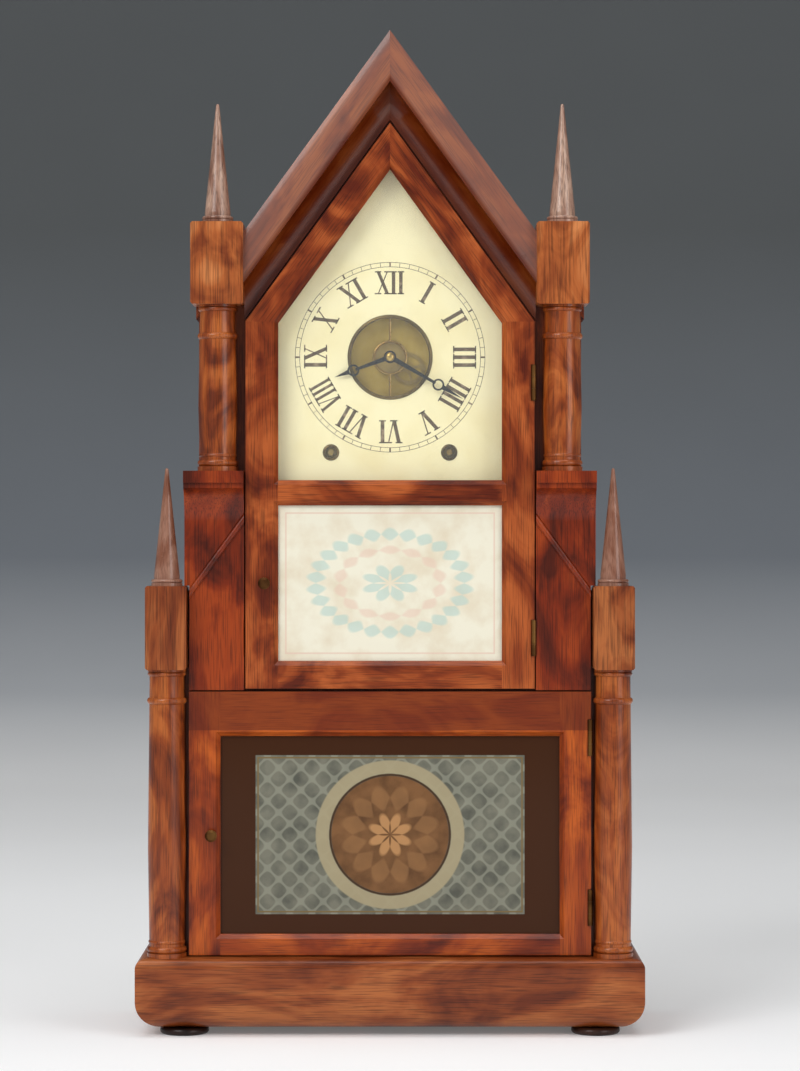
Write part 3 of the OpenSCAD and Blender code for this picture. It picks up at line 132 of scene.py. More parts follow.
class Finish:
    """A material under construction, with short names for the node sums that it needs."""

    def __init__(self, name, roughness=0.5, metallic=0.0, coat=0.0, coat_roughness=0.08, specular=0.5):
        self.material = bpy.data.materials.new(name)
        self.material.use_nodes = True
        self.tree = self.material.node_tree
        self.shader = self.tree.nodes["Principled BSDF"]
        self.shader.inputs["Roughness"].default_value = roughness
        self.shader.inputs["Metallic"].default_value = metallic
        self.shader.inputs["Coat Weight"].default_value = coat
        self.shader.inputs["Coat Roughness"].default_value = coat_roughness
        self.shader.inputs["Specular IOR Level"].default_value = specular
        self.place = self.tree.nodes.new("ShaderNodeTexCoord").outputs["Object"]
        split = self.add("ShaderNodeSeparateXYZ", self.place)
        self.x, self.y, self.z = split.outputs

    def add(self, kind, *inputs, **settings):
        node = self.tree.nodes.new(kind)
        for key, value in settings.items():
            setattr(node, key, value)
        for socket, value in zip(node.inputs, inputs):
            self.feed(socket, value)
        return node

    def feed(self, socket, value):
        if isinstance(value, bpy.types.NodeSocket):
            self.tree.links.new(value, socket)
        elif value is not None:
            socket.default_value = value

    def sum(self, operation, *inputs):
        return self.add("ShaderNodeMath", *inputs, operation=operation).outputs[0]

    def plus(self, first, second):
        return self.sum("ADD", first, second)

    def minus(self, first, second):
        return self.sum("SUBTRACT", first, second)

    def times(self, first, second):
        return self.sum("MULTIPLY", first, second)

    def size(self, value):
        """The value without its sign."""
        return self.sum("ABSOLUTE", value)

    def between(self, value, start, end, low=0.0, high=1.0):
        """Runs from low to high while the value runs from start to end."""
        return self.add("ShaderNodeMapRange", value, start, end, low, high).outputs[0]

    def vector(self, x, y, z):
        return self.add("ShaderNodeCombineXYZ", x, y, z).outputs[0]

    def stretch(self, vector, scale):
        return self.add("ShaderNodeVectorMath", vector, scale, operation="MULTIPLY").outputs[0]

    def noise(self, vector, scale, detail=2.0, distortion=0.0):
        node = self.tree.nodes.new("ShaderNodeTexNoise")
        self.feed(node.inputs["Vector"], vector)
        self.feed(node.inputs["Scale"], scale)
        self.feed(node.inputs["Detail"], detail)
        self.feed(node.inputs["Distortion"], distortion)
        return node.outputs["Fac"]

    def ramp(self, value, *stops):
        node = self.add("ShaderNodeValToRGB", value)
        band = node.color_ramp
        while len(band.elements) < len(stops):
            band.elements.new(0.5)
        for element, (place, colour) in zip(band.elements, stops):
            element.position = place
            element.color = (*colour, 1) if isinstance(colour, (tuple, list)) else (colour, colour, colour, 1)
        return node.outputs["Color"]

    def blend(self, share, first, second, mode="MIX"):
        node = self.add("ShaderNodeMix", data_type="RGBA", blend_type=mode)
        self.feed(node.inputs[0], share)
        for socket, value in ((node.inputs[6], first), (node.inputs[7], second)):
            self.feed(socket, (*value, 1) if isinstance(value, (tuple, list)) else value)
        return node.outputs[2]

    def choose(self, share, first, second):
        """The first vector where share is 0, the second where it is 1."""
        node = self.add("ShaderNodeMix", data_type="VECTOR")
        self.feed(node.inputs[0], share)
        self.feed(node.inputs[4], first)
        self.feed(node.inputs[5], second)
        return node.outputs[1]

    def beyond(self, value, limit):
        return self.sum("GREATER_THAN", value, limit)

    def band(self, value, low, high, soft):
        """1 between low and high, falling softly to 0 outside."""
        rise = self.between(value, low - soft, low + soft)
        fall = self.between(value, high - soft, high + soft, 1.0, 0.0)
        return self.times(rise, fall)

    def bump(self, height, strength, distance):
        node = self.tree.nodes.new("ShaderNodeBump")
        self.feed(node.inputs["Height"], height)
        node.inputs["Strength"].default_value = strength
        node.inputs["Distance"].default_value = distance
        self.tree.links.new(node.outputs["Normal"], self.shader.inputs["Normal"])

    def colour(self, value):
        self.feed(self.shader.inputs["Base Color"], value)

    def painted(self):
        """The colour that the shader has been given so far."""
        return self.shader.inputs["Base Color"].links[0].from_socket

    def roughness(self, value, low, high):
        spread = self.between(value, 0.0, 1.0, low, high)
        self.tree.links.new(spread, self.shader.inputs["Roughness"])


# Directions of the grain: each gives a vector whose Z runs along the grain

def upright(finish):
    return finish.place


def level(finish):
    return finish.vector(finish.z, finish.y, finish.x)


def front_to_back(finish):
    return finish.vector(finish.x, finish.z, finish.y)


def raking(finish):
    """Along the slope of the gable, mirrored about the middle."""
    away = finish.size(finish.x)
    side = finish.beyond(finish.x, 0.0)
    down = finish.minus(finish.times(away, math.cos(SLOPE)), finish.times(finish.z, math.sin(SLOPE)))
    over = finish.plus(finish.times(away, math.sin(SLOPE)), finish.times(finish.z, math.cos(SLOPE)))
    return finish.vector(finish.plus(over, side), finish.y, down)


def upper_door_grain(finish):
    """Up the stiles, along the rails and up the slopes of the gable."""
    door_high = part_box("upper_door_frame")[1]
    gable_low = door_high.z - door_high.x * math.tan(SLOPE)
    stile = finish.beyond(finish.size(finish.x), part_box("middle_tablet")[1].x - REBATE)
    rails = finish.choose(stile, level(finish), upright(finish))
    return finish.choose(finish.beyond(finish.z, gable_low), rails, raking(finish))


def lower_door_grain(finish):
    """Up the stiles and along the rails."""
    stile = finish.beyond(finish.size(finish.x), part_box("lower_tablet")[1].x - REBATE)
    return finish.choose(stile, level(finish), upright(finish))


def base_grain(finish):
    """Along each mitred strip of the base."""
    low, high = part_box("base_moulding")
    away = finish.size(finish.x)
    inward = finish.minus(high.x, away)
    behind = finish.minus(finish.y, low.y)
    return finish.choose(finish.beyond(behind, inward), level(finish), front_to_back(finish))


def wood(name, dark, middle, light, grain, roughness=0.34, coat=0.2, figure=20.0, pores=0.45):
    """Figured wood under old varnish: cloudy flame figure, ribbon stripe and fine dark pores."""
    finish = Finish(name, roughness, coat=coat, coat_roughness=0.14, specular=0.22)
    run = grain(finish)
    cloud = finish.noise(finish.stretch(run, (1, 1, 0.55)), figure, 4.0, 2.2)
    stripe = finish.noise(finish.stretch(run, (1, 1, 0.05)), figure * 8, 3.0, 0.5)
    pore = finish.noise(finish.stretch(run, (1, 1, 0.03)), 1500, 1.0)
    mixed = finish.plus(finish.times(cloud, 0.8), finish.times(stripe, 0.2))
    ground = finish.ramp(mixed, (0.38, dark), (0.49, middle), (0.6, light))
    shade = finish.ramp(pore, (0.36, 1 - pores), (0.5, 1.0))
    finish.colour(finish.blend(1.0, ground, shade, "MULTIPLY"))
    finish.roughness(cloud, roughness - 0.06, roughness + 0.1)
    finish.bump(pore, 0.12, 0.15 * MM)
    return finish


def pine(name, grain):
    """Plain softwood, sawn and unvarnished: long, almost straight growth lines."""
    finish = Finish(name, 0.64, specular=0.2)
    run = grain(finish)
    growth = finish.noise(finish.stretch(run, (1, 1, 0.07)), 42.0, 2.0, 0.6)
    fine = finish.noise(finish.stretch(run, (1, 1, 0.02)), 380.0, 2.0)
    stain = finish.noise(run, 7.0, 2.0)
    mixed = finish.plus(finish.times(growth, 0.6), finish.times(fine, 0.4))
    lines = finish.ramp(mixed, (0.4, srgb(152, 108, 66)), (0.5, srgb(180, 138, 90)),
                        (0.58, srgb(196, 158, 110)))
    aged = finish.ramp(stain, (0.4, 0.82), (0.6, 1.0))
    finish.colour(finish.blend(1.0, lines, aged, "MULTIPLY"))
    finish.bump(fine, 0.15, 0.15 * MM)
    return finish.material


def metal(name, tone, wear_and_sheen, roughness, run=(1, 1, 1), scale=300.0):
    """Metal with tool marks along one direction and a slight tarnish."""
    finish = Finish(name, roughness, metallic=1.0)
    marks = finish.noise(finish.stretch(finish.place, run), scale, 3.0)
    tarnish = finish.noise(finish.place, 45.0, 3.0)
    finish.colour(finish.ramp(tarnish, (0.38, wear_and_sheen), (0.6, tone)))
    finish.roughness(marks, roughness - 0.08, roughness + 0.14)
    finish.bump(marks, 0.08, 0.08 * MM)
    return finish.material


def paint_nodes(material, *names):
    for name in names:
        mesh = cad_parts[name].data
        mesh.materials.clear()
        mesh.materials.append(material)


# Modelling by hand

def deselect():
    if bpy.context.object and bpy.context.object.mode != "OBJECT":
        bpy.ops.object.mode_set(mode="OBJECT")
    bpy.ops.object.select_all(action="DESELECT")


def only(piece):
    deselect()
    piece.select_set(True)
    bpy.context.view_layer.objects.active = piece


def edit(piece):
    only(piece)
    bpy.ops.object.mode_set(mode="EDIT")
    bpy.ops.mesh.select_mode(type="VERT")
    bpy.ops.mesh.select_all(action="SELECT")


def object_mode():
    bpy.ops.object.mode_set(mode="OBJECT")


def face_outwards():
    bpy.ops.mesh.select_all(action="SELECT")
    bpy.ops.mesh.normals_make_consistent(inside=False)


def extrude(x, y, z):
    """Extrudes what is selected in edit mode along the vector."""
    bpy.ops.mesh.extrude_region_move(TRANSFORM_OT_translate={"value": (x, y, z)})


def pick(piece, kind, wanted):
    """Selects the vertices or edges whose middle passes the test wanted."""
    bpy.ops.mesh.select_all(action="DESELECT")
    bpy.ops.mesh.select_mode(type={"vertices": "VERT", "edges": "EDGE"}[kind])
    object_mode()
    mesh = piece.data
    for item in getattr(mesh, kind):
        if kind == "vertices":
            item.select = wanted(item.co)
        else:
            corners = [mesh.vertices[i].co for i in item.vertices]
            item.select = wanted(sum(corners, Vector()) / len(corners))
    bpy.ops.object.mode_set(mode="EDIT")


def place_in_mesh(piece):
    only(piece)
    bpy.ops.object.transform_apply(location=True, rotation=True, scale=True)


def apply(piece, kind, **settings):
    only(piece)
    modifier = piece.modifiers.new(kind.title(), kind)
    for key, value in settings.items():
        setattr(modifier, key, value)
    bpy.ops.object.modifier_apply(modifier=modifier.name)


def copy_of(piece, place=(0, 0, 0), turn=(0, 0, 0)):
    only(piece)
    bpy.ops.object.duplicate()
    twin = bpy.context.object
    twin.rotation_euler = turn
    twin.location = place
    place_in_mesh(twin)
    return twin


def join(pieces):
    deselect()
    for piece in pieces:
        piece.select_set(True)
    bpy.context.view_layer.objects.active = pieces[0]
    bpy.ops.object.join()
    return bpy.context.object


def remove(*pieces):
    for piece in pieces:
        bpy.data.objects.remove(piece)


def finish_piece(piece, name, material, body):
    piece.name = name
    piece.data.name = name
    piece.data.materials.clear()
    piece.data.materials.append(material)
    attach(piece, body)


def turned(profile, centre, steps):
    """A ring or knob turned about the Y axis: profile lists radius and depth, front to back."""
    points = [Vector((radius, depth, 0)) + centre for radius, depth in profile]
    deselect()
    bpy.ops.mesh.primitive_plane_add(size=0.1 * MM, location=points[0])
    piece = bpy.context.object
    place_in_mesh(piece)
    edit(piece)
    bpy.ops.mesh.merge(type="CENTER")
    for start, end in zip(points, points[1:]):
        extrude(*(end - start))
    bpy.ops.mesh.select_all(action="SELECT")
    bpy.ops.mesh.spin(steps=steps, angle=2 * math.pi, center=centre, axis=(0, 1, 0))
    bpy.ops.mesh.select_all(action="SELECT")
    bpy.ops.mesh.remove_doubles(threshold=0.02 * MM)
    face_outwards()
    object_mode()
    bpy.ops.object.shade_smooth_by_angle(angle=math.radians(35))
    return piece


def upright_sheet(width, height, centre):
    """A flat face in the XZ plane that looks out of the front."""
    deselect()
    bpy.ops.mesh.primitive_plane_add(size=1, location=centre, rotation=(math.pi / 2, 0, 0))
    piece = bpy.context.object
    piece.scale = (width, height, 1)
    place_in_mesh(piece)
    return piece


def slotted_screw(radius):
    """A domed screw head with its slot, looking out of the front, at the origin."""
    dome = ((0.0, -0.42), (0.6, -0.36), (0.92, -0.2), (1.0, 0.0), (0.96, 0.25), (0.0, 0.25))
    head = turned([(out * radius, depth * radius) for out, depth in dome], Vector(), 24)
    slot_width = 0.3 * radius
    slot_front = -0.6 * radius
    slot_back = -0.18 * radius
    cutter = upright_sheet(2.4 * radius, slot_width, (0, slot_front, 0))
    edit(cutter)
    extrude(0, slot_back - slot_front, 0)
    face_outwards()
    object_mode()
    apply(head, "BOOLEAN", operation="DIFFERENCE", object=cutter)
    remove(cutter)
    return head


# Pieces

class CLOCK_OT_woods(bpy.types.Operator):
    """Gives every wooden node its own cut of mahogany or pine"""
    bl_idname = "clock.woods"
    bl_label = "Woods"

    def execute(self, context):
        colours = context.scene.clock_colours
        veneer = [tuple(colours.veneer_dark), tuple(colours.veneer), tuple(colours.veneer_light)]
        case = [srgb(96, 34, 10), srgb(122, 50, 18), srgb(146, 68, 28)]
        turning = [srgb(102, 39, 8), srgb(145, 66, 20), srgb(177, 94, 38)]
        block = [srgb(100, 40, 12), srgb(140, 68, 28), srgb(172, 98, 50)]
        upper_block = [srgb(124, 56, 22), srgb(172, 92, 42), srgb(202, 126, 72)]
        shade = [srgb(76, 20, 2), srgb(122, 38, 4), srgb(154, 60, 14)]
        black = [srgb(24, 12, 8), srgb(40, 20, 12), srgb(58, 32, 20)]
        boards = ["lower_case_sides", "upper_case_sides", "lower_face_frame", "upper_face_frame"]
        cuts = (
            ("veneer_upper_door", veneer, upper_door_grain, {}, ["upper_door_frame"]),
            ("veneer_base", block, base_grain, {"figure": 14.0}, ["base_moulding"]),
            ("mahogany_boards", case, upright, {"figure": 18.0}, boards),
            ("mahogany_roof", case, raking, {"figure": 18.0}, ["roof_boards", "shoulder_boards"]),
            ("mahogany_turned", turning, upright, {"coat": 0.32, "figure": 26.0},
             ["lower_columns", "upper_columns"]),
            ("mahogany_capitals", block, upright, {"coat": 0.3, "figure": 24.0}, ["lower_capitals"]),
            ("mahogany_upper_capitals", upper_block, upright, {"coat": 0.3, "figure": 24.0},
             ["upper_capitals"]),
            ("mahogany_shaded", shade, upright, {}, ["shoulder_panels", "column_corbels"]),
            ("feet_ebonised", black, upright, {"roughness": 0.42}, ["bun_feet"]),
        )
        for name, palette, grain, settings, nodes in cuts:
            paint_nodes(wood(name, *palette, grain, **settings).material, *nodes)
        paint_nodes(pine("pine_boards", upright), "lower_backboard", "upper_backboard", "movement_posts",
                    "dial_rails")
        paint_nodes(pine("pine_level", level), "bottom_board")
        self.paint_lower_door(veneer)
        self.paint_gable(turning, shade)
        self.paint_steeples()
        return {"FINISHED"}

    def paint_lower_door(self, veneer):
        """The door's veneer, warmer than the upper one's, with painted shade darkening the top rail."""
        warm = [toned(tone, 1.14, 1.0, 0.5) for tone in veneer]
        finish = wood("veneer_lower_door", *warm, lower_door_grain, figure=16.0)
        ground = finish.painted()
        # Painted shade: the top rail is blended towards the darkest veneer tone
        top_rail_shade = finish.beyond(finish.z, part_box("lower_tablet")[1].z)
        finish.colour(finish.blend(finish.times(top_rail_shade, 0.68), ground, veneer[0]))
        paint_nodes(finish.material, "lower_door_frame")

    def paint_gable(self, turning, shade):
        """The raised band has a pinkish painted highlight, and the hollow beside it painted shade."""
        finish = wood("mahogany_gable", *turning, raking, roughness=0.28, coat=0.4, figure=26.0)
        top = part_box("gable_moulding")[1].z
        fall = finish.times(finish.size(finish.x), math.tan(SLOPE))
        below = finish.minus(finish.minus(top, finish.z), fall)
        from_edge = finish.times(below, math.cos(SLOPE))
        hollow = finish.between(from_edge, 16.5 * MM, 19 * MM)
        ground = finish.painted()
        # The band is tinted pinkish as a painted highlight, and the hollow is darkened as painted shade
        painted_highlight = finish.blend(0.55, ground, srgb(126, 97, 90))
        painted_shade = finish.blend(0.75, ground, shade[0])
        finish.colour(finish.blend(hollow, painted_highlight, painted_shade))
        paint_nodes(finish.material, "gable_moulding")

    def paint_steeples(self):
        """Pale with a painted sheen, the upper pair more than the lower one."""
        # A pale palette that stands in for a painted sheen of reflected light
        wear_and_sheen = [srgb(120, 82, 66), srgb(158, 122, 104), srgb(184, 150, 130)]
        finish = wood("mahogany_steeples", *wear_and_sheen, upright, roughness=0.28, coat=0.45, figure=30.0)
        ground = finish.painted()
        # The lower pair is blended darker, so that it shows less of the painted sheen than the upper pair
        lower = finish.sum("LESS_THAN", finish.z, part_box("upper_capitals")[0].z)
        finish.colour(finish.blend(finish.times(lower, 0.45), ground, srgb(132, 74, 48)))
        paint_nodes(finish.material, "steeples")


class CLOCK_OT_metals(bpy.types.Operator):
    """Brass, steel, iron and cord for the movement and the fittings"""
    bl_idname = "clock.metals"
    bl_label = "Metals and cords"

    def execute(self, context):
        brass = tuple(context.scene.clock_colours.brass)
        paint_nodes(metal("brass_rolled", srgb(198, 170, 84), srgb(172, 144, 62), 0.44, (1, 1, 0.05)),
                    "front_plate", "back_plate")
        paint_nodes(metal("brass_cut", brass, srgb(158, 130, 72), 0.3, (1, 0.1, 1)),
                    "time_drum", "strike_drum", "time_main_wheel", "strike_main_wheel", "second_wheel",
                    "center_wheel", "third_wheel", "escape_wheel", "pin_wheel", "warning_wheel", "fly",
                    "minute_wheel")
        paint_nodes(metal("brass_bob", srgb(200, 168, 98), srgb(150, 116, 58), 0.26), "pendulum")
        paint_nodes(metal("brass_darkened", srgb(118, 84, 46), srgb(72, 44, 24), 0.42),
                    "case_hinge_leaves", "upper_door_hinge_leaves", "lower_door_hinge_leaves",
                    "upper_door_catch", "lower_door_catch")
        paint_nodes(metal("steel_blued", srgb(46, 52, 66), srgb(30, 30, 34), 0.3, (1, 1, 0.1)),
                    "gong_coil", "hammer", "verge", "spring_leaves")
        paint_nodes(metal("iron_forged", srgb(74, 70, 66), srgb(48, 40, 34), 0.55, scale=180.0),
                    "spring_bracket", "lever_brackets", "time_lever", "strike_lever", "gong_block")
        self.paint_hands(brass)
        self.paint_cords()
        return {"FINISHED"}

    def paint_hands(self, brass):
        """Blued hands on brass pipes: all that lies behind the hands themselves is brass."""
        hands_stand_out = 2.1 * MM
        finish = Finish("hands_blued_on_brass", 0.34, metallic=1.0)
        behind = finish.beyond(finish.y, DIAL_CENTRE.y - hands_stand_out)
        tarnish = finish.noise(finish.place, 60.0, 3.0)
        wheel = finish.ramp(tarnish, (0.38, srgb(150, 122, 64)), (0.6, brass))
        finish.colour(finish.blend(behind, srgb(40, 44, 54), wheel))
        finish.roughness(tarnish, 0.28, 0.44)
        paint_nodes(finish.material, "hour_hand", "minute_hand")

    def paint_cords(self):
        """Laid hemp: dark lines wind round the cord."""
        finish = Finish("cord_laid", 0.85)
        knot_radius = 3 * MM
        pitch = 3 * MM
        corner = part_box("time_cord")[0]
        back = finish.minus(finish.y, corner.y + knot_radius)
        across = finish.minus(finish.size(finish.x), corner.x + knot_radius)
        around = finish.sum("ARCTAN2", back, across)
        climb = finish.times(finish.z, 2 * math.pi / pitch)
        wave = finish.sum("SINE", finish.plus(finish.times(around, 2.0), climb))
        lay = finish.between(wave, -1.0, 1.0)
        finish.colour(finish.ramp(lay, (0.1, srgb(120, 98, 66)), (0.5, srgb(206, 186, 146))))
        finish.bump(lay, 0.6, 0.3 * MM)
        paint_nodes(finish.material, "time_cord", "strike_cord")


class CLOCK_OT_dial(bpy.types.Operator):
    """Paints the dial and adds the numerals, the minute track and the rims of its holes"""
    bl_idname = "clock.dial"
    bl_label = "Dial"

    # Widths of the brush strokes, as shares of a numeral's height
    thick = 0.16
    thin = 0.055

    def execute(self, context):
        sizes = context.scene.clock_sizes
        colours = context.scene.clock_colours
        self.paint_ground(tuple(colours.dial))
        ink = Finish("numeral_paint", 0.42)
        age = ink.noise(ink.place, 260.0, 3.0)
        wear_and_sheen = srgb(146, 126, 100)
        ink.colour(ink.ramp(age, (0.34, wear_and_sheen), (0.46, tuple(colours.numerals))))
        numerals = join(self.numerals(sizes))
        finish_piece(numerals, "dial_numerals", ink.material, "case")
        track = join(self.minute_track(sizes))
        finish_piece(track, "minute_track", ink.material, "case")
        self.rims()
        self.hand_nut()
        return {"FINISHED"}

    def paint_ground(self, tone):
        """Old cream paint, cloudy with age and finely cracked."""
        finish = Finish("dial_paint", 0.38, coat=0.15)
        cloud = finish.noise(finish.place, 22.0, 4.0)
        ground = finish.ramp(cloud, (0.25, toned(tone, 0.9, 0.86, 0.74)), (0.5, tone))
        cells = finish.add("ShaderNodeTexVoronoi", feature="DISTANCE_TO_EDGE")
        finish.feed(cells.inputs["Vector"], finish.place)
        cells.inputs["Scale"].default_value = 210.0
        crack = finish.ramp(cells.outputs["Distance"], (0.0, 0.86), (0.03, 1.0))
        finish.colour(finish.blend(0.5, ground, finish.blend(1.0, ground, crack, "MULTIPLY")))
        finish.roughness(cloud, 0.3, 0.46)
        finish.bump(cells.outputs["Distance"], 0.05, 0.05 * MM)
        paint_nodes(finish.material, "dial_plate")

    def stroke(self, width, foot, head, height):
        """One stroke of the brush from foot to head, across the numeral's height."""
        piece = upright_sheet(width, height, (foot, 0, 0))
        edit(piece)
        pick(piece, "vertices", lambda corner: corner.z > 0)
        bpy.ops.transform.translate(value=(head - foot, 0, 0))
        object_mode()
        return piece

    def letter(self, strokes, height):
        """Strokes with a serif at each end: each stroke lists its width, foot and head in heights."""
        pieces = [self.stroke(width * height, foot * height, head * height, height)
                  for width, foot, head in strokes]
        serif_width = 0.3 * height
        serif_height = self.thin * height
        for end, key in ((-0.5, 1), (0.5, 2)):
            for mark in sorted({stroke[key] for stroke in strokes}):
                place = (mark * height, 0, end * (height - serif_height))
                pieces.append(upright_sheet(serif_width, serif_height, place))
        return join(pieces)

    def numerals(self, sizes):
        """Roman numerals with their feet towards the middle, the wide ones squeezed."""
        height = sizes.numeral_height
        thick = self.thick
        thin = self.thin
        # Each letter, and the width that it takes as a share of the height
        letters = {
            "I": (self.letter([(thick, 0.0, 0.0)], height), 0.34),
            "V": (self.letter([(thick, 0.0, -0.22), (thin, 0.02, 0.24)], height), 0.66),
            "X": (self.letter([(thick, 0.22, -0.22), (thin, -0.22, 0.22)], height), 0.66),
        }
        widest = 1.25 * height
        placed = []
        for hour, name in enumerate(HOUR_NAMES):
            angle = hour * math.pi / 6
            widths = [letters[mark][1] * height for mark in name]
            squeeze = min(1.0, widest / sum(widths))
            along = -sum(widths) * squeeze / 2
            for mark, width in zip(name, widths):
                twin = copy_of(letters[mark][0])
                twin.scale = (squeeze, 1, 1)
                twin.location.x = along + width * squeeze / 2
                place_in_mesh(twin)
                along += width * squeeze
                twin.rotation_euler = (0, angle, 0)
                twin.location = on_dial(sizes.numeral_radius, angle)
                place_in_mesh(twin)
                placed.append(twin)
        remove(*(letter for letter, width in letters.values()))
        return placed

    def ring(self, inner, outer):
        """A flat ring round the middle that looks out of the front."""
        deselect()
        centre = on_dial(0, 0)
        bpy.ops.mesh.primitive_circle_add(vertices=120, radius=inner, location=centre,
                                          rotation=(math.pi / 2, 0, 0))
        piece = bpy.context.object
        place_in_mesh(piece)
        edit(piece)
        bpy.ops.mesh.extrude_region_move()
        grow = outer / inner
        bpy.ops.transform.resize(value=(grow, 1, grow), center_override=centre)
        face_outwards()
        object_mode()
        if piece.data.polygons[0].normal.y > 0:
            edit(piece)
            bpy.ops.mesh.flip_normals()
            object_mode()
        return piece

    def minute_track(self, sizes):
        """Two fine rings with sixty marks between them, every fifth one bold."""
        inner = sizes.track_radius
        width = 3 * MM
        fine = 0.35 * MM
        bold = 1.1 * MM
        pieces = [self.ring(inner, inner + fine), self.ring(inner + width, inner + width + fine)]
        for minute in range(60):
            angle = minute * math.pi / 30
            tick = upright_sheet(fine if minute % 5 else bold, width, (0, 0, 0))
            tick.rotation_euler = (0, angle, 0)
            tick.location = on_dial(inner + width / 2, angle)
            place_in_mesh(tick)
            pieces.append(tick)
        return pieces

    def rims(self):
        """A turned rim round the open centre and an eyelet in each winding hole."""
        finish = metal("brass_rims", srgb(104, 86, 48), srgb(66, 52, 28), 0.38)
        hole = 27 * MM
        collar = ((-0.6, 1.2), (-0.6, -0.6), (0.2, -1.1), (1.4, -0.7), (1.8, -0.05), (0.0, -0.02),
                  (-0.1, 1.2), (-0.6, 1.2))
        finish_piece(self.rim(collar, hole, DIAL_CENTRE, 96), "dial_centre_rim", finish, "case")
        winding_hole = 4.3 * MM
        eyelet = ((-0.5, 1.2), (-0.5, -0.5), (0.0, -0.8), (1.1, -0.5), (1.3, -0.05), (-0.05, -0.02),
                  (-0.1, 1.2), (-0.5, 1.2))
        eyelets = []
        for drum in ("time_drum", "strike_drum"):
            low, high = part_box(drum)
            centre = Vector(((low.x + high.x) / 2, DIAL_CENTRE.y, (low.z + high.z) / 2))
            eyelets.append(self.rim(eyelet, winding_hole, centre, 40))
        finish_piece(join(eyelets), "winding_eyelets", finish, "case")

    def rim(self, profile, radius, centre, steps):
        """A turned rim whose profile lists millimetres out from the radius and back from the dial."""
        return turned([(radius + out * MM, depth * MM) for out, depth in profile], centre, steps)

    def hand_nut(self):
        """A domed brass nut in front of the minute hand."""
        finish = metal("brass_nut", srgb(206, 178, 104), srgb(156, 126, 66), 0.3)
        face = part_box("minute_hand")[0].y
        reach = 3.1 * MM
        dome = ((0.0, -1.9), (0.5, -1.7), (0.85, -1.1), (1.0, -0.4), (1.0, 0.3), (0.0, 0.3))
        nut = turned([(out * reach, depth * MM) for out, depth in dome], Vector((0, face, DIAL_CENTRE.z)), 40)
        finish_piece(nut, "hand_nut", finish, "minute_hand")


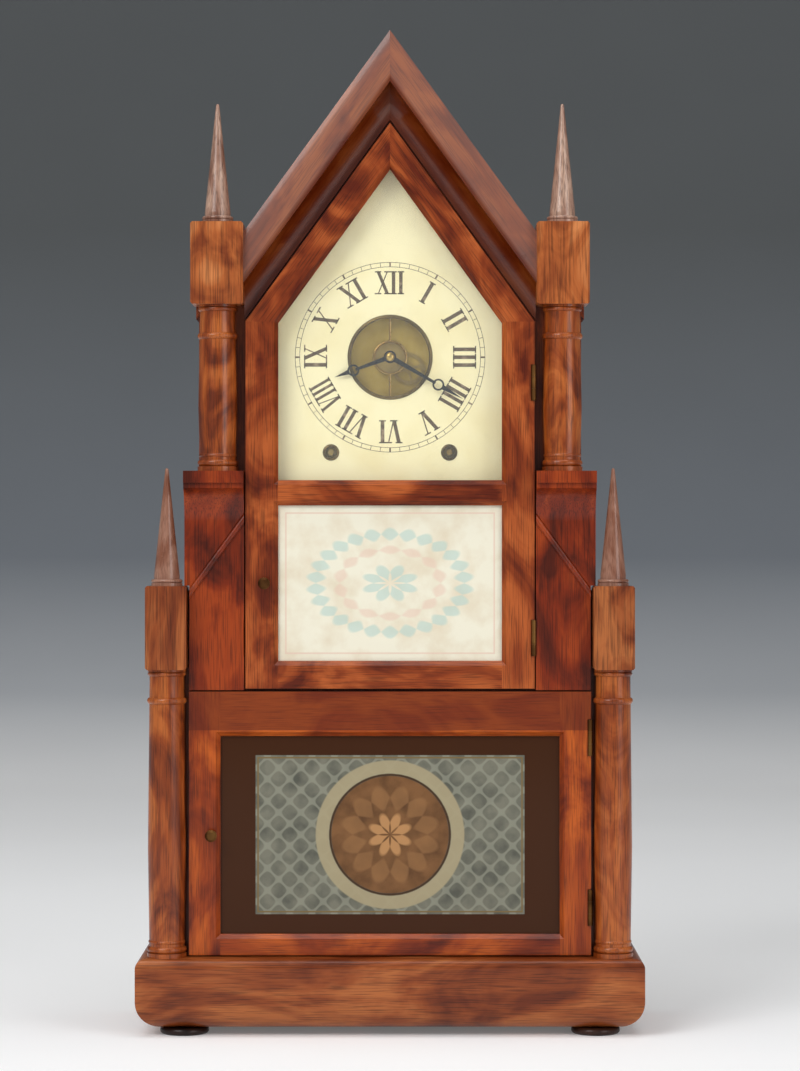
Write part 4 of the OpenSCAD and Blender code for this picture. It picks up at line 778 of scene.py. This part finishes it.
class CLOCK_OT_glasses(bpy.types.Operator):
    """Clear glass over the dial and two painted glasses below it"""
    bl_idname = "clock.glasses"
    bl_label = "Glasses"

    def execute(self, context):
        glass = Finish("glass_clear", 0.03)
        glass.shader.inputs["Alpha"].default_value = 0.05
        ripple = glass.noise(glass.place, 14.0, 1.0)
        glass.colour(glass.ramp(ripple, (0.0, srgb(236, 240, 232)), (1.0, srgb(246, 248, 240))))
        glass.bump(ripple, 0.2, 0.4 * MM)
        paint_nodes(glass.material, "dial_glass")
        self.paint_middle()
        self.paint_lower()
        return {"FINISHED"}

    def polar(self, finish, centre_z, wide, high):
        """Distance from the glass's middle, 1 on an oval of that size, and the angle about it."""
        across = finish.sum("DIVIDE", finish.x, wide)
        up = finish.sum("DIVIDE", finish.minus(finish.z, centre_z), high)
        square = finish.plus(finish.times(across, across), finish.times(up, up))
        return finish.sum("SQRT", square), finish.sum("ARCTAN2", up, across)

    def leaves(self, finish, distance, angle, count, middle, reach):
        """Leaf shapes round an oval: wide where the sine is high, pointed where it is low."""
        wave = finish.size(finish.sum("SINE", finish.times(angle, count / 2)))
        off = finish.size(finish.minus(distance, middle))
        edge = finish.minus(finish.times(wave, reach), off)
        return finish.between(edge, -0.02, 0.03)

    def paint_middle(self):
        """Cream ground with a pale wreath of leaves round a small rosette, and a thin lined border."""
        low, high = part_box("middle_tablet")
        centre_z = (low.z + high.z) / 2
        finish = Finish("glass_painted_cream", 0.4, coat=0.4, coat_roughness=0.03)
        mottle = finish.noise(finish.place, 60.0, 4.0)
        cream = finish.ramp(mottle, (0.3, srgb(224, 212, 186)), (0.6, srgb(236, 231, 210)))
        wreath_wide = 50 * MM
        wreath_high = 33 * MM
        distance, angle = self.polar(finish, centre_z, wreath_wide, wreath_high)
        teal = srgb(178, 206, 198)
        rose = srgb(226, 194, 174)
        wreath = self.leaves(finish, distance, angle, 26, 1.0, 0.13)
        inner = self.leaves(finish, distance, angle, 14, 0.68, 0.09)
        petals = self.leaves(finish, distance, angle, 8, 0.22, 0.17)
        tone = finish.blend(finish.times(wreath, 0.64), cream, teal)
        tone = finish.blend(finish.times(inner, 0.55), tone, rose)
        tone = finish.blend(finish.times(petals, 0.64), tone, teal)
        wide = (high.x - low.x) / 2
        tall = (high.z - low.z) / 2
        inset = finish.sum("MINIMUM", finish.minus(wide, finish.size(finish.x)),
                           finish.minus(tall, finish.size(finish.minus(finish.z, centre_z))))
        lined = 8.6 * MM
        line = finish.band(inset, lined, lined + 1 * MM, 0.2 * MM)
        tone = finish.blend(finish.times(line, 0.7), tone, rose)
        finish.colour(tone)
        finish.bump(mottle, 0.03, 0.1 * MM)
        paint_nodes(finish.material, "middle_tablet")

    def paint_lower(self):
        """Dark border, grey-green ground with a faint lattice, a pale ring and a brown rosette."""
        low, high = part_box("lower_tablet")
        centre_z = (low.z + high.z) / 2
        finish = Finish("glass_painted_dark", 0.6, coat=0.2, coat_roughness=0.04, specular=0.1)
        mottle = finish.noise(finish.place, 70.0, 4.0)
        up = finish.minus(finish.z, centre_z)
        side_border = 27.5 * MM
        end_border = 17 * MM
        past_side = finish.minus(finish.size(finish.x), high.x - side_border)
        past_end = finish.minus(finish.size(up), (high.z - low.z) / 2 - end_border)
        past_ground = finish.sum("MAXIMUM", past_side, past_end)
        border = finish.beyond(past_ground, 0.0)
        ground = finish.ramp(mottle, (0.3, srgb(84, 85, 76)), (0.62, srgb(118, 117, 103)))
        diamond = 15 * MM
        rising = finish.sum("SINE", finish.times(finish.plus(finish.x, up), math.pi / diamond))
        falling = finish.sum("SINE", finish.times(finish.minus(finish.x, up), math.pi / diamond))
        lattice = finish.times(finish.size(rising), finish.size(falling))
        etched = finish.between(lattice, 0.12, 0.3, 0.55, 0.0)
        tone = finish.blend(etched, ground, srgb(148, 149, 132))
        ring_radius = 50 * MM
        distance, angle = self.polar(finish, centre_z, ring_radius, ring_radius)
        ring = finish.band(distance, 0.82, 1.0, 0.01)
        disc = finish.sum("LESS_THAN", distance, 0.79)
        gap = finish.band(distance, 0.79, 0.82, 0.006)
        brown = finish.ramp(mottle, (0.3, srgb(90, 60, 34)), (0.65, srgb(124, 86, 52)))
        petals = self.leaves(finish, distance, angle, 12, 0.5, 0.17)
        brown = finish.blend(finish.times(petals, 0.5), brown, srgb(150, 108, 68))
        heart = self.leaves(finish, distance, angle, 8, 0.16, 0.14)
        brown = finish.blend(finish.times(heart, 0.85), brown, srgb(186, 138, 90))
        tone = finish.blend(finish.times(ring, 0.9), tone, srgb(164, 152, 120))
        tone = finish.blend(disc, tone, brown)
        tone = finish.blend(gap, tone, srgb(66, 46, 28))
        gilt_line = -2.2 * MM
        edge = finish.band(past_ground, gilt_line, gilt_line + 1 * MM, 0.1 * MM)
        tone = finish.blend(edge, tone, srgb(120, 100, 64))
        finish.colour(finish.blend(border, tone, srgb(60, 28, 2)))
        finish.bump(mottle, 0.04, 0.1 * MM)
        paint_nodes(finish.material, "lower_tablet")


class CLOCK_OT_glazing(bpy.types.Operator):
    """Thin strips behind the glasses, which hold them in their rebates"""
    bl_idname = "clock.glazing"
    bl_label = "Glazing strips"

    def execute(self, context):
        width = context.scene.clock_sizes.strip_width
        finish = wood("pine_strips", srgb(120, 78, 42), srgb(150, 104, 62), srgb(172, 128, 82), upright,
                      roughness=0.6, coat=0.0, pores=0.25)
        upper = [self.strips("dial_glass", width, True), self.strips("middle_tablet", width, False)]
        finish_piece(join(upper), "upper_glazing_strips", finish.material, "upper_door")
        lower = self.strips("lower_tablet", width, False)
        finish_piece(lower, "lower_glazing_strips", finish.material, "lower_door")
        return {"FINISHED"}

    def strips(self, glass, width, gabled):
        """A frame of strips along the glass's edges, pointed at the top where it is gabled."""
        low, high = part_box(glass)
        thickness = 3 * MM
        top = high.z - high.x * math.tan(SLOPE) if gabled else high.z
        back = high.y + 0.05 * MM
        piece = upright_sheet(high.x - low.x, top - low.z, (0, back, (top + low.z) / 2))
        edit(piece)
        if gabled:
            near = 0.1 * MM
            pick(piece, "edges", lambda middle: middle.z > top - near)
            bpy.ops.mesh.subdivide(number_cuts=1)
            pick(piece, "vertices", lambda corner: corner.z > top - near and abs(corner.x) < near)
            bpy.ops.transform.translate(value=(0, 0, high.z - top))
        bpy.ops.mesh.select_mode(type="FACE")
        bpy.ops.mesh.select_all(action="SELECT")
        bpy.ops.mesh.inset(thickness=width, depth=0)
        bpy.ops.mesh.delete(type="FACE")
        bpy.ops.mesh.select_all(action="SELECT")
        extrude(0, thickness, 0)
        face_outwards()
        object_mode()
        apply(piece, "BEVEL", width=0.8 * MM, segments=2)
        return piece


class CLOCK_OT_screws(bpy.types.Operator):
    """Slotted screws in the movement's plate, the lever brackets and the backboards"""
    bl_idname = "clock.screws"
    bl_label = "Screws"

    def execute(self, context):
        head = slotted_screw(context.scene.clock_sizes.screw_radius)
        finish = metal("steel_screws", srgb(96, 92, 86), srgb(60, 52, 44), 0.4)
        low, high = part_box("front_plate")
        thickness = 2 * MM
        plate_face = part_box("back_plate")[0].y - thickness
        edge = 7 * MM
        places = [(side * (high.x - edge), low.z + edge) for side in (-1, 1)]
        places += [(side * (high.x - edge), DIAL_CENTRE.z + 5 * MM) for side in (-1, 1)]
        places += [(side * 40 * MM, high.z - 14 * MM) for side in (-1, 1)]
        heads = [copy_of(head, (x, plate_face, z), (0, 0.7 * i, 0)) for i, (x, z) in enumerate(places)]
        finish_piece(join(heads), "plate_screws", finish, "case")
        self.bracket_screws(head, finish)
        self.back_screws(head, finish)
        remove(head)
        return {"FINISHED"}

    def bracket_screws(self, head, finish):
        """Four screws through each lever bracket into the side of the case."""
        low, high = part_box("lever_brackets")
        thickness = 3 * MM
        inner = high.x - thickness
        edge = 8 * MM
        end = 4.5 * MM
        heads = []
        for side in (-1, 1):
            for y in (low.y + edge, high.y - edge):
                for z in (low.z + end, high.z - end):
                    heads.append(copy_of(head, (side * inner, y, z), (0, 0, -side * math.pi / 2)))
        finish_piece(join(heads), "bracket_screws", finish, "case")

    def back_screws(self, head, finish):
        """Screws round the edges of both backboards, seen from behind."""
        low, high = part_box("lower_backboard")
        upper_low, upper_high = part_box("upper_backboard")
        edge = 8 * MM
        places = [(side * (high.x - edge), low.z + rise)
                  for side in (-1, 1) for rise in (12 * MM, 100 * MM, 190 * MM)]
        places += [(x, low.z + edge) for x in (-80 * MM, 0, 80 * MM)]
        places += [(side * (upper_high.x - edge), upper_low.z + rise)
                   for side in (-1, 1) for rise in (16 * MM, 90 * MM, 165 * MM)]
        places += [(0, upper_high.z - 30 * MM)]
        behind = high.y - 0.3 * MM
        heads = [copy_of(head, (x, behind, z), (0, 0.9 * i, math.pi)) for i, (x, z) in enumerate(places)]
        finish_piece(join(heads), "backboard_screws", finish, "case")


class CLOCK_OT_leaf_spring(bpy.types.Operator):
    """The leaf spring, cut into its time and strike halves, both fixed to the case"""
    bl_idname = "clock.leaf_spring"
    bl_label = "Leaf spring"

    def execute(self, context):
        finish = metal("steel_spring", srgb(92, 98, 110), srgb(58, 54, 52), 0.34, (0.08, 1, 1))
        bed_height = 12 * MM
        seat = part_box("spring_bracket")[0].z + bed_height
        halves = {train: self.half(train, seat) for train in ("time", "strike")}
        for train, leaves in halves.items():
            finish_piece(leaves, train + "_spring_leaves", finish, "case")
            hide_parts("spring_leaves")
            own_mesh(leaves)
        return {"FINISHED"}

    def half(self, train, seat):
        """The leaves on the side of that train's lever, cut under the clamp's cap."""
        low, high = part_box(train + "_lever")
        side = math.copysign(1, low.x + high.x)
        only(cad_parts["spring_leaves"])
        bpy.ops.object.duplicate()
        leaves = bpy.context.object
        edit(leaves)
        bpy.ops.mesh.remove_doubles(threshold=0.01 * MM)
        bpy.ops.mesh.select_all(action="SELECT")
        bpy.ops.mesh.bisect(plane_co=(0, 0, seat), plane_no=(side, 0, 0), use_fill=True, clear_inner=True)
        object_mode()
        return leaves


class CLOCK_OT_stage(bpy.types.Operator):
    """Pale floor, a wall that darkens upwards, soft light, and the camera in front"""
    bl_idname = "clock.stage"
    bl_label = "Stage"

    def execute(self, context):
        self.backdrop()
        self.lights(context)
        self.camera(context)
        context.scene.view_settings.view_transform = "Standard"
        return {"FINISHED"}

    def backdrop(self):
        """A sheet of paper on the floor that sweeps up into a wall behind the clock."""
        size = 12.8
        wall = 4.2
        height = 5
        sweep = 2.2
        deselect()
        bpy.ops.mesh.primitive_plane_add(size=size, location=(0, wall - size / 2, 0))
        floor = bpy.context.object
        place_in_mesh(floor)
        edit(floor)
        pick(floor, "edges", lambda middle: middle.y > wall - 0.1)
        extrude(0, 0, height)
        pick(floor, "edges", lambda middle: middle.y > wall - 0.1 and abs(middle.z) < 0.01)
        bpy.ops.mesh.bevel(offset=sweep, segments=40)
        object_mode()
        bpy.ops.object.shade_smooth()
        floor.name = "studio_floor"
        paper = Finish("studio_paper", 0.9)
        # Pale on the floor, and grey from a short way up the wall: painted shade that darkens the wall
        # upwards
        rise = paper.ramp(paper.z, (0.0, srgb(244, 245, 246)), (0.1, srgb(208, 212, 217)),
                          (0.3, srgb(144, 150, 158)), (0.9, srgb(112, 116, 118)))
        grain = paper.ramp(paper.noise(paper.place, 3.0, 2.0), (0.3, 0.96), (0.7, 1.0))
        paper.colour(paper.blend(1.0, rise, grain, "MULTIPLY"))
        # The floor is a little whiter to the eye than the lamps make it, and keeps the clock's shadow
        ray = paper.add("ShaderNodeLightPath").outputs
        seen = paper.sum("MAXIMUM", ray["Is Camera Ray"],
                         paper.sum("MAXIMUM", ray["Is Glossy Ray"], ray["Is Transmission Ray"]))
        glow = paper.between(paper.z, 0.0, 0.1, 0.12, 0.0)
        paper.feed(paper.shader.inputs["Emission Strength"], paper.times(seen, glow))
        # Clear from its far side, so that the clock's back and underside can be looked at too
        far_side = paper.add("ShaderNodeNewGeometry").outputs["Backfacing"]
        clear = paper.add("ShaderNodeBsdfTransparent").outputs[0]
        sheet = paper.add("ShaderNodeMixShader", far_side, paper.shader.outputs[0], clear)
        paper.feed(paper.tree.nodes["Material Output"].inputs["Surface"], sheet.outputs[0])
        floor.data.materials.append(paper.material)

    def lamp(self, name, place, target, size, power):
        data = bpy.data.lights.new(name, "AREA")
        data.shape = "RECTANGLE"
        data.size, data.size_y = size
        data.energy = power
        lamp = bpy.data.objects.new(name, data)
        lamp.location = place
        lamp.rotation_euler = (Vector(target) - Vector(place)).to_track_quat("-Z", "Y").to_euler()
        bpy.context.collection.objects.link(lamp)

    def lights(self, context):
        middle = (0, 0, 0.34)
        self.lamp("key_light", (-1.3, -1.9, 1.9), middle, (1.4, 1.4), 40)
        self.lamp("fill_light", (1.7, -1.7, 0.9), middle, (1.2, 1.6), 17)
        self.lamp("top_light", (0, -0.3, 2.4), middle, (1.8, 1.0), 18)
        world = bpy.data.worlds.new("studio_air")
        world.use_nodes = True
        world.node_tree.nodes["Background"].inputs["Color"].default_value = (1, 1, 1, 1)
        world.node_tree.nodes["Background"].inputs["Strength"].default_value = 0.3
        context.scene.world = world

    def camera(self, context):
        """Level with the clock's middle; the photograph's frame is 719 mm high at the columns."""
        distance = 2200 * MM
        frame_height = 719 * MM
        columns = -46 * MM
        aside = 6.7 * MM
        up = 334.8 * MM
        data = bpy.data.cameras.new("camera")
        data.sensor_fit = "VERTICAL"
        data.sensor_height = 36
        data.lens = data.sensor_height * distance / frame_height
        camera = bpy.data.objects.new("camera", data)
        camera.location = (aside, columns - distance, up)
        camera.rotation_euler = (math.pi / 2, 0, 0)
        context.collection.objects.link(camera)
        context.scene.camera = camera


class CLOCK_PT_panel(bpy.types.Panel):
    """Lists the clock's operators and what can be changed"""
    bl_label = "Gothic Shelf Clock"
    bl_idname = "CLOCK_PT_panel"
    bl_space_type = "VIEW_3D"
    bl_region_type = "UI"
    bl_category = "Clock"

    def draw(self, context):
        for group in (context.scene.clock_sizes, context.scene.clock_colours):
            for key in group.__annotations__:
                self.layout.prop(group, key)
        for operator in OPERATORS:
            self.layout.operator(operator.bl_idname)


OPERATORS = (CLOCK_OT_woods, CLOCK_OT_metals, CLOCK_OT_dial, CLOCK_OT_glasses, CLOCK_OT_glazing,
             CLOCK_OT_screws, CLOCK_OT_leaf_spring, CLOCK_OT_stage)
CLASSES = (ClockSizes, ClockColours) + OPERATORS + (CLOCK_PT_panel,)


def register():
    for cls in CLASSES:
        bpy.utils.register_class(cls)
    bpy.types.Scene.clock_sizes = bpy.props.PointerProperty(type=ClockSizes)
    bpy.types.Scene.clock_colours = bpy.props.PointerProperty(type=ClockColours)


def unregister():
    del bpy.types.Scene.clock_colours
    del bpy.types.Scene.clock_sizes
    for cls in reversed(CLASSES):
        bpy.utils.unregister_class(cls)


def main():
    register()
    bpy.ops.clock.woods()
    bpy.ops.clock.metals()
    bpy.ops.clock.dial()
    bpy.ops.clock.glasses()
    bpy.ops.clock.glazing()
    bpy.ops.clock.screws()
    bpy.ops.clock.leaf_spring()
    bpy.ops.clock.stage()
    deselect()


if __name__ == "__main__":
    main()
